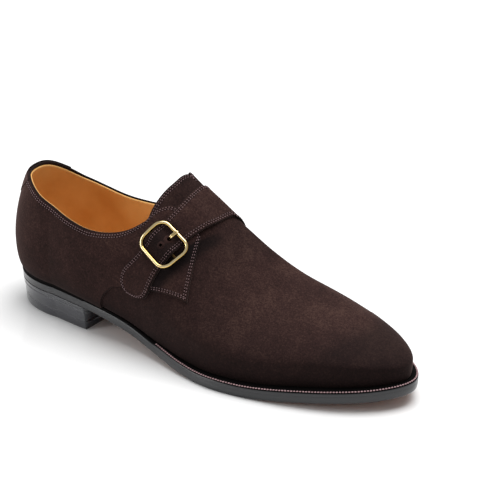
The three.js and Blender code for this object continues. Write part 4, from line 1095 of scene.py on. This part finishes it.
# %% Slabs: the outsole, the heel stack and the top lift
def slab(name, stations, profile, top, bottom, materials, across=24, inset_step=0.0, at_heel=None):
    """A plate between both sides of the sole's edge. At each station the section runs up the outer edge's
    profile, straight across, down the inner edge's profile and back across. A height from 0 up counts from
    the bottom face, one below 0 from the top face. Over the heel the insets change to those of `at_heel`."""
    def row(side, inset, height, heel_inset=None):
        """One point of the profile carried along every station of one side."""
        x, y = sole_edge(side, stations)
        out_x, out_y = sole_out(side, stations)
        if heel_inset is not None:
            inset = inset + (heel_inset - inset) * ease(x, HEEL_LENGTH + 1, HEEL_LENGTH - 1)
        x, y = x - (inset + inset_step) * out_x, y - (inset + inset_step) * out_y
        low, high = bottom(x / LENGTH), top(x / LENGTH)
        return np.stack([x, y, low + height if height >= 0 else high + height], -1)

    profile = [(*step, at_heel[k] if at_heel else None) for k, step in enumerate(profile)]
    up = [row(-1.0, *step) for step in profile]
    down = [row(1.0, *step) for step in profile][::-1]
    share_across = np.linspace(0, 1, across + 1)[1:-1]
    over = [up[-1] + (down[0] - up[-1]) * q for q in share_across]
    back = [down[-1] + (up[0] - down[-1]) * q for q in share_across]
    loop = np.stack(up + over + down + back, 1)
    faces = grid_faces(len(stations), loop.shape[1], closed=True)
    column = np.arange(len(faces)) % loop.shape[1]
    slots = (column >= len(up) + len(over) + len(down) - 1).astype(int)
    points = loop.reshape(-1, 3)
    last_ring = (len(stations) - 1) * loop.shape[1] + np.arange(loop.shape[1])
    half = loop.shape[1] // 2
    pairs = np.concatenate([last_ring[:half], last_ring[half:][::-1]]).reshape(2, -1)
    end = np.stack([pairs[0][:-1], pairs[0][1:], pairs[1][1:], pairs[1][:-1]], -1)
    return make_piece(name, points, np.concatenate([faces, end]), materials,
                      slots=np.concatenate([slots, np.zeros(len(end), int)]) if len(materials) > 1 else None)


sole_s = np.concatenate([np.linspace(0, 1, 60)[:-1], np.linspace(1, 2, 160)[:-1], np.linspace(2, 3, 80)])
SOLE_EDGE = [(1.2, 0.0), (0.45, 0.12), (0.12, 0.45), (0.0, 1.0), (-0.25, 2.3), (-0.38, -1.4), (-0.4, -0.3),
             (-0.4, -0.1), (-0.4, -0.0001)]
OVER_HEEL = [0.5, 0.3, 0.15, 0.15, 0.1, 0.05, -0.3, -0.3, -0.1]
outsole = slab("outsole_leather", sole_s, SOLE_EDGE,
               lambda at: seat(at) - WELT_THICKNESS, lambda at: seat(at) - BOTTOM,
               [black_edge, tan_tread], inset_step=EDGE_STEP, at_heel=OVER_HEEL)
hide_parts("outsole")

# %% [markdown]
# ## The heel
#
# The heel is built up from layers of leather, blacked and polished, on a rubber lift. Both are plates like
# the outsole that end at the heel's front.

# %% The stacked heel
heel_stations = np.concatenate([np.linspace(0, 1, 60)[:-1], np.linspace(1, float(share(HEEL_LENGTH / LENGTH)), 40)])
STACK_EDGE = [(0.95, 0.0), (0.9, 0.06), (0.65, 4.0), (0.1, -4.0), (-0.18, -2.8), (0.05, -2.6), (-0.2, -2.4),
              (-0.4, -0.5), (-0.42, -0.2), (-0.3, -0.0001)]
HEEL_STEP = 1.0
heel_stack = slab("heel_stack_leather", heel_stations, STACK_EDGE, lambda at: seat(at) - BOTTOM - GAP,
                  lambda at: np.full(np.shape(at), TOP_LIFT_THICKNESS), [black_heel_painted_light], inset_step=HEEL_STEP)
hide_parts("heel_stack")
LIFT_EDGE = [(1.9, 0.0), (1.5, 0.12), (1.35, 0.45), (0.95, -0.3), (0.92, -0.08), (0.95, -0.0001)]
top_lift = slab("top_lift_rubber", heel_stations, LIFT_EDGE, lambda at: np.full(np.shape(at), TOP_LIFT_THICKNESS),
                lambda at: np.zeros(np.shape(at)), [black_heel_painted_light, black_rubber], inset_step=HEEL_STEP)
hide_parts("top_lift")

# %% [markdown]
# ## The insole
#
# The insole lies inside the feather line and closes the foot bed; a thin sock of tan calf covers it.

# %% The insole with its sock
SOCK_EDGE = [(0.3, 0.0), (0.0, 0.3), (0.0, -0.8), (0.3, -0.2), (1.2, -0.0001)]


def insole_slab():
    """The insole lies inside the feather line, so its inset changes along the shoe."""
    rows = []
    for side in (-1.0, 1.0):
        out_x, out_y = sole_out(side, sole_s)
        edge_x, edge_y = sole_edge(side, sole_s)
        inset = feather_inset(side, sole_s) + WALL + GAP
        half = []
        for extra, height in SOCK_EDGE:
            px, py = edge_x - (inset + extra) * out_x, edge_y - (inset + extra) * out_y
            low, high = seat(px / LENGTH) + GAP - WELT_THICKNESS, seat(px / LENGTH) + GAP + 0.3
            half.append(np.stack([px, py, low + height if height >= 0 else high + height], -1))
        rows.append(half)
    up, down = rows[0], rows[1][::-1]
    cross = np.linspace(0, 1, 25)[1:-1]
    loop = np.stack(up + [up[-1] + (down[0] - up[-1]) * q for q in cross] + down
                    + [down[-1] + (up[0] - down[-1]) * q for q in cross], 1)
    faces = grid_faces(len(sole_s), loop.shape[1], closed=True)
    return make_piece("insole_sock", loop.reshape(-1, 3), faces, tan_sock)


insole = insole_slab()
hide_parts("insole")

# %% [markdown]
# ## The buckle
#
# The frame is half-round wire bent into a square with round corners. It is a profile carried along a
# closed path, laid over the last like everything else, so it curves gently with the foot.


# %% Sweeps for the metal parts
def sweep(name, spots, normals, profile, material, closed=True, side_axis=None, caps=False):
    """A closed profile of (sideways, upwards) carried along spots; the tangent is the mean of both steps.
    The crown attribute is each profile point's share of the profile's height."""
    if closed:
        tangent = unit(np.roll(spots, -1, 0) - np.roll(spots, 1, 0))
    else:
        tangent = unit(np.gradient(spots, axis=0))
    sideways = unit(np.cross(tangent, normals)) if side_axis is None else np.broadcast_to(side_axis, spots.shape)
    upwards = unit(np.cross(sideways, tangent))
    shape = profile(np.arange(len(spots)))
    lowest, highest = shape[..., 1].min(-1, keepdims=True), shape[..., 1].max(-1, keepdims=True)
    crown = ((shape[..., 1] - lowest) / (highest - lowest)).ravel()
    grid = spots[:, None] + sideways[:, None] * shape[..., :1] + upwards[:, None] * shape[..., 1:]
    count, around = grid.shape[:2]
    faces = grid_faces(count, around, closed=True)
    points = grid.reshape(-1, 3)
    if closed:
        k = np.arange(around)
        seam = np.stack([(count - 1) * around + k, (count - 1) * around + (k + 1) % around, (k + 1) % around, k], -1)
        faces = np.concatenate([faces, seam])
    if caps:
        for first in (0, (count - 1) * around):
            points = np.concatenate([points, points[first:first + around].mean(0)[None]])
            crown = np.concatenate([crown, [0.6]])
            k = np.arange(around)
            middle = np.full(around, len(points) - 1)
            faces = np.concatenate([faces, np.stack([first + k, first + (k + 1) % around, middle, middle], -1)])
    return make_piece(name, points, faces, material, {"crown": crown})


def rounded_square(half_a, half_b, radius, steps):
    """A square path with round corners: each corner a quarter circle, each side a straight run."""
    turn = np.linspace(0, math.pi / 2, steps)
    parts = []
    for corner, (a, b) in enumerate(((1, 1), (-1, 1), (-1, -1), (1, -1))):
        angle = turn + corner * math.pi / 2
        parts.append(np.stack([a * (half_a - radius) + radius * np.cos(angle),
                               b * (half_b - radius) + radius * np.sin(angle)], -1))
    path = np.concatenate(parts + [parts[0][:1]])
    length = np.concatenate([[0], np.cumsum(np.linalg.norm(np.diff(path, axis=0), axis=1))])
    even = np.linspace(0, length[-1], 8 * steps + 1)[:-1]
    return np.stack([np.interp(even, length, path[:, k]) for k in (0, 1)], -1)


def half_round(index):
    """A D-shaped wire: upright sides with soft corners under a dome that is a half ellipse."""
    turn = np.linspace(0, math.pi, 19)
    dome = np.stack([FRAME_WIDTH / 2 * np.cos(turn), (FRAME_HEIGHT - 0.6) * np.sin(turn) + 0.6], -1)
    half = FRAME_WIDTH / 2
    foot = np.array([[-half, 0.25], [-half + 0.25, 0.0], [0, 0.0], [half - 0.25, 0.0], [half, 0.25]])
    shape = np.concatenate([dome, foot]) - [0, FRAME_HEIGHT / 2]
    return np.broadcast_to(shape, (len(index), *shape.shape))


path = rounded_square(BAR_SPACING, SIDE_SPACING, BUCKLE_CORNER, 26)
spots, normals = buckle_spots(path[:, 0], path[:, 1], FRAME_LIFT)
buckle = sweep("buckle_frame_brass", spots, normals, half_round, brass_with_painted_highlight)
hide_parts("buckle_frame")
bar_b = np.linspace(-SIDE_SPACING, SIDE_SPACING, 40)
spots, normals = buckle_spots(np.zeros(40), bar_b, BAR_LIFT)
circle = np.linspace(0, 2 * math.pi, 13)[:-1]
bar_ring = np.stack([np.cos(circle), np.sin(circle)], -1) * BAR_DIAMETER / 2
bar = sweep("buckle_bar_brass", spots, normals, lambda i: np.broadcast_to(bar_ring, (len(i), 12, 2)), bar_brass_with_painted_shade,
            closed=False, caps=True)

# %% [markdown]
# ## The prong
#
# The prong hooks round the hidden bar, comes up through the strap's hole and rests on the frame. It is a
# sweep whose radius changes along its path, with a shallow groove along its back.

# %% The prong
away = BAR_DIAMETER / 2 + GAP + PRONG_ROOT / 2
rest = FRAME_LIFT + FRAME_HEIGHT / 2 + PRONG_DIAMETER / 2 + 0.05
underside = BAR_LIFT - away
hook = np.linspace(math.pi * 0.95, math.pi * 1.51, 5)
prong_path = [(away * math.cos(t), BAR_LIFT + away * math.sin(t), PRONG_ROOT / 2) for t in hook]
prong_path += [(HOLE_AT - 3, underside + 0.7, 0.5), (HOLE_AT - 1.2, underside + 1.2, 0.55),
               (HOLE_AT + 0.2, (underside + rest) / 2 + 0.4, 0.65),
               (HOLE_AT + 1.3, rest - 0.6, 0.72), (HOLE_AT + 3.2, rest, 0.75), (BAR_SPACING - 1.2, rest, 0.75),
               (BAR_SPACING + 0.6, rest, 0.6), (BAR_SPACING + 0.95, rest, 0.3)]
prong_path = np.array(prong_path)
length = np.concatenate([[0], np.cumsum(np.linalg.norm(np.diff(prong_path[:, :2], axis=0), axis=1))])
even = np.linspace(0, length[-1], 70)
a, lift, radius = (through(length, prong_path[:, k])(even) for k in range(3))
spots, normals = buckle_spots(a, np.zeros(70), lift)
turn = np.linspace(0, 2 * math.pi, 25)[:-1]
groove = 1 - 0.55 * np.exp(-(np.cos(turn) / 0.35) ** 2) * (np.sin(turn) > 0)
prong_shape = np.stack([1.5 * np.cos(turn), np.sin(turn) * groove], -1)
prong = sweep("buckle_prong_brass", spots, normals,
              lambda i: prong_shape[None] * radius[:, None, None], brass_with_painted_highlight,
              closed=False, side_axis=-across_strap, caps=True)
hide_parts("buckle_prong")
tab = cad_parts["buckle_tab"]
tab.data.materials.clear()
tab.data.materials.append(brown_suede)

# %% [markdown]
# ## The strap's holes
#
# Two holes are punched in the strap: the prong's own and a spare one. Cutting the strap's mesh could leave
# ragged faces, so each hole is a small ring with a dark middle laid on the strap.

# %% The strap's holes
def punched_hole(name, a, radius):
    """A punched hole: a shallow raised ring round a dark pit. Its height over the strap is read from a short
    table by the distance from the middle, counted in radii."""
    distance = np.array([0, 0.35, 0.6, 0.8, 1.0, 1.25, 1.6, 2.1])
    depth = np.array([0.18, 0.18, 0.19, 0.24, 0.32, 0.36, 0.26, -0.1])
    turn = np.linspace(0, 2 * math.pi, 25)[:-1]
    a_grid = a + radius * distance[:, None] * np.cos(turn)
    b_grid = radius * distance[:, None] * np.sin(turn) + 0 * a_grid
    spots, normals = buckle_spots(a_grid, b_grid, 0.0)
    height = strap_height(spots) + STRAP_THICKNESS + 0.04 + depth[:, None]
    points = spots + normals * height[..., None]
    faces = grid_faces(*a_grid.shape, closed=True)
    slots = (np.arange(len(faces)) // 24 < 3).astype(int)
    hole = make_piece(name, points, faces, [brown_suede, dark_pit], slots=slots,
                      attributes={"edge": np.full(a_grid.size, NO_EDGE), "climb": np.full(a_grid.size, 0.8)})


punched_hole("prong_hole", HOLE_AT - 0.4, 1.5)
punched_hole("spare_hole", -1.0, 1.15)

# %% [markdown]
# ## Stitches
#
# Each stitch is a short thread that rises out of one hole and dives into the next: a small capsule. One
# capsule is worked out, then copied by arrays along every row.


# %% Rows of stitches
def capsules(centres, tangents, normals, length, width, height):
    """Copies of one capsule: an ellipsoid grid of 7 by 8 stretched along the row."""
    lat, lon = np.meshgrid(np.linspace(0, math.pi, 7), np.linspace(0, 2 * math.pi, 9)[:-1], indexing="ij")
    x = -np.sign(np.cos(lat)) * np.abs(np.cos(lat)) ** 0.7 * length / 2
    y, z = np.sin(lat) ** 0.8 * np.cos(lon) * width / 2, np.sin(lat) ** 0.8 * np.sin(lon) * height
    sideways = np.cross(normals, tangents)
    shape = np.stack([x.ravel(), y.ravel(), z.ravel()], -1)
    points = (centres[:, None] + tangents[:, None] * shape[:, :1] + sideways[:, None] * shape[:, 1:2]
              + normals[:, None] * shape[:, 2:])
    faces = grid_faces(7, 8, closed=True)
    all_faces = (faces[None] + (np.arange(len(centres)) * 56)[:, None, None]).reshape(-1, 4)
    return points.reshape(-1, 3), all_faces


def row_of(stations, height, pitch):
    """Stitches along stations at a height over the last: centres, directions and normals."""
    spots = skin(stations[:, 0], stations[:, 1], height)
    length = np.concatenate([[0], np.cumsum(np.linalg.norm(np.diff(spots, axis=0), axis=1))])
    count = max(int(length[-1] / pitch), 1)
    places = (np.arange(count) + 0.5) * length[-1] / count
    s = np.interp(places, length, stations[:, 0])
    w = np.interp(places, length, stations[:, 1])
    centres = np.stack([np.interp(places, length, spots[:, k]) for k in range(3)], -1)
    ahead = np.stack([np.interp(places + 0.3, length, spots[:, k]) for k in range(3)], -1)
    behind = np.stack([np.interp(places - 0.3, length, spots[:, k]) for k in range(3)], -1)
    normal = last_normal(s, w)
    tangent = unit(ahead - behind)
    return centres, tangent, unit(normal - tangent * (normal * tangent).sum(-1, keepdims=True))


def beside(line, other, distance):
    """A line of stations at a distance inside an edge, on the way to the panel's other edge."""
    width = np.linalg.norm(last(line[:, 0], line[:, 1]) - last(other[:, 0], other[:, 1]), axis=-1)
    return line + (other - line) * np.clip(distance / np.maximum(width, 0.1), 0, 0.5)[:, None]


def between(first, second, count=60):
    """Evenly spread stations on the straight line from the first to the second."""
    return first + (second - first) * np.linspace(0, 1, count)[:, None]


THREAD_PITCH, THREAD_LENGTH, THREAD_WIDTH, THREAD_HEIGHT = 1.95, 1.2, 0.56, 0.3
quarter_top_height = 0.05 + SUEDE_THICKNESS
rows = []
for distance in (1.5, 2.9):
    rows.append((beside(outer_top, outer_bottom, distance)[2:-8], quarter_top_height))
    flap = beside(outer_bottom, outer_top, distance)[100:]
    inset = distance / np.linalg.norm(last(*outer_bottom[-1]) - last(*outer_bottom[-10]))
    rows.append((flap[:-2], quarter_top_height))
    front_low = outer_bottom[-1] + (outer_bottom[-10] - outer_bottom[-1]) * inset
    front_high = outer_top[-1] + (outer_top[-10] - outer_top[-1]) * inset
    rows.append((between(front_low, front_high)[2:], quarter_top_height))
for distance in (1.4, 2.8):
    low_row, high_row = beside(inner_bottom, inner_top, distance), beside(inner_top, inner_bottom, distance)
    for line in (low_row[100:], high_row[2:]):
        spot = last(line[:, 0], line[:, 1])
        rows.append((line, strap_height(spot) + STRAP_THICKNESS))
    tip_low, tip_high = low_row[-1], high_row[-1]
    rows.append((between(tip_low, tip_high, 12), strap_top))
for distance in (1.5, 2.9):
    line = beside(tongue_top, tongue_root, distance)[14:-14]
    rows.append((line, tongue_lift(last(line[:, 0], line[:, 1])) + 1.6))
parts = [row_of(line, np.broadcast_to(height, len(line)), THREAD_PITCH) for line, height in rows]
centres, tangents, normals = (np.concatenate([part[k] for part in parts]) for k in range(3))
points, faces = capsules(centres, tangents, normals, THREAD_LENGTH, THREAD_WIDTH, THREAD_HEIGHT)
stitches = make_piece("upper_stitches", points, faces, brown_thread)
pricks = centres + tangents * THREAD_PITCH / 2
points, faces = capsules(pricks, tangents, normals, 0.8, 0.75, 0.06)
prick_marks = make_piece("awl_pricks", points, faces, dark_pit)
print("stitches in the upper:", len(centres))

# %% [markdown]
# ## The welt's stitches
#
# The welt is sewn to the sole with a thicker, paler thread. The same capsule is copied along the sole's
# edge, at the pitch of the marks that are pressed into the rim.

# %% The welt's stitches
walked = welt_walk(welt_side, welt_s)
x_there = sole_edge(welt_side, welt_s)[0]
places = np.arange(0, walked[-1], STITCH_PITCH)
keep = np.interp(places, walked, x_there) > 0.46 * LENGTH
places = places[keep]
line = at_edge(welt_side, welt_s, WELT_STITCH_INSET, 0.0)
centres = np.stack([np.interp(places, walked, line[:, k]) for k in range(3)], -1)
ahead = np.stack([np.interp(places + 0.4, walked, line[:, k]) for k in range(3)], -1)
behind = np.stack([np.interp(places - 0.4, walked, line[:, k]) for k in range(3)], -1)
tangents = unit(ahead - behind)
normals = np.broadcast_to([0.0, 0.0, 1.0], tangents.shape)
normals = unit(normals - tangents * (normals * tangents).sum(-1, keepdims=True))
points, faces = capsules(centres, tangents, normals, 1.35, 1.15, 0.42)
welt_stitches = make_piece("welt_stitches", points, faces, welt_thread)
print("stitches in the welt:", len(centres))

# %% [markdown]
# ## Floor, light and camera
#
# A white floor, a bright surround and two square soft lights stand for the studio. The camera stands where
# the photographer stood: 37 degrees round from the shoe's side towards the toe and 25 degrees up. It is put
# a metre and a half away, which is a choice, since a photograph of unknown scale doesn't tell the distance.

# %% The studio
def add_light(name, place, aim, size, power):
    """A square area light that points at a spot."""
    light = bpy.data.lights.new(name, "AREA")
    light.size, light.energy = size, power
    lamp = bpy.data.objects.new(name, light)
    bpy.context.scene.collection.objects.link(lamp)
    lamp.location = place
    lamp.rotation_euler = (Vector(aim) - Vector(place)).to_track_quat("-Z", "Y").to_euler()
    return lamp


floor_mesh = bpy.data.meshes.new("studio_floor")
floor_mesh.from_pydata([(-6, -6, 0), (6, -6, 0), (6, 6, 0), (-6, 6, 0)], [], [(0, 1, 2, 3)])
floor = bpy.data.objects.new("studio_floor", floor_mesh)
bpy.context.scene.collection.objects.link(floor)
white_floor = start("white_studio_floor", Base_Color=hue("#f4f4f4"), Roughness=0.09, Specular_IOR_Level=0.5)[0]
floor_mesh.materials.append(white_floor)
world = bpy.data.worlds.new("studio_world")
bpy.context.scene.world = world
world.use_nodes = True
world.node_tree.nodes["Background"].inputs["Color"].default_value = (1.0, 1.0, 1.0, 1.0)
world.node_tree.nodes["Background"].inputs["Strength"].default_value = 0.42
add_light("top_softbox", (0.1, 0.5, 2.0), (0.0, 0.0, 0.0), 2.0, 62)
add_light("front_softbox", (-0.9, -1.1, 0.55), (-0.05, 0.0, 0.03), 0.6, 5)
bpy.context.scene.view_settings.view_transform = "Standard"

AZIMUTH, ELEVATION, ROLL, DISTANCE = math.radians(36.64), math.radians(25.22), math.radians(-0.63), 1500.0
AIM = np.array([150.0, 0.0, 40.0])
FOCAL_PIXELS, FRAME_PIXELS, SENSOR = 2348.0, 500.0, 36.0
AXIS_PIXEL = (211.0, 285.2)
level = math.cos(ELEVATION)
back = np.array([math.sin(AZIMUTH) * level, -math.cos(AZIMUTH) * level, math.sin(ELEVATION)])
camera_data = bpy.data.cameras.new("photographer")
camera_data.sensor_width = SENSOR
camera_data.lens = FOCAL_PIXELS / FRAME_PIXELS * SENSOR
camera_data.shift_x = (FRAME_PIXELS / 2 - AXIS_PIXEL[0]) / FRAME_PIXELS
camera_data.shift_y = (AXIS_PIXEL[1] - FRAME_PIXELS / 2) / FRAME_PIXELS
camera = bpy.data.objects.new("photographer", camera_data)
bpy.context.scene.collection.objects.link(camera)
camera.location = (AIM + DISTANCE * back + SHIFT) * MM
camera.rotation_euler = (Vector(back).to_track_quat("Z", "Y") @ Quaternion((0, 0, 1), ROLL)).to_euler()
bpy.context.scene.camera = camera
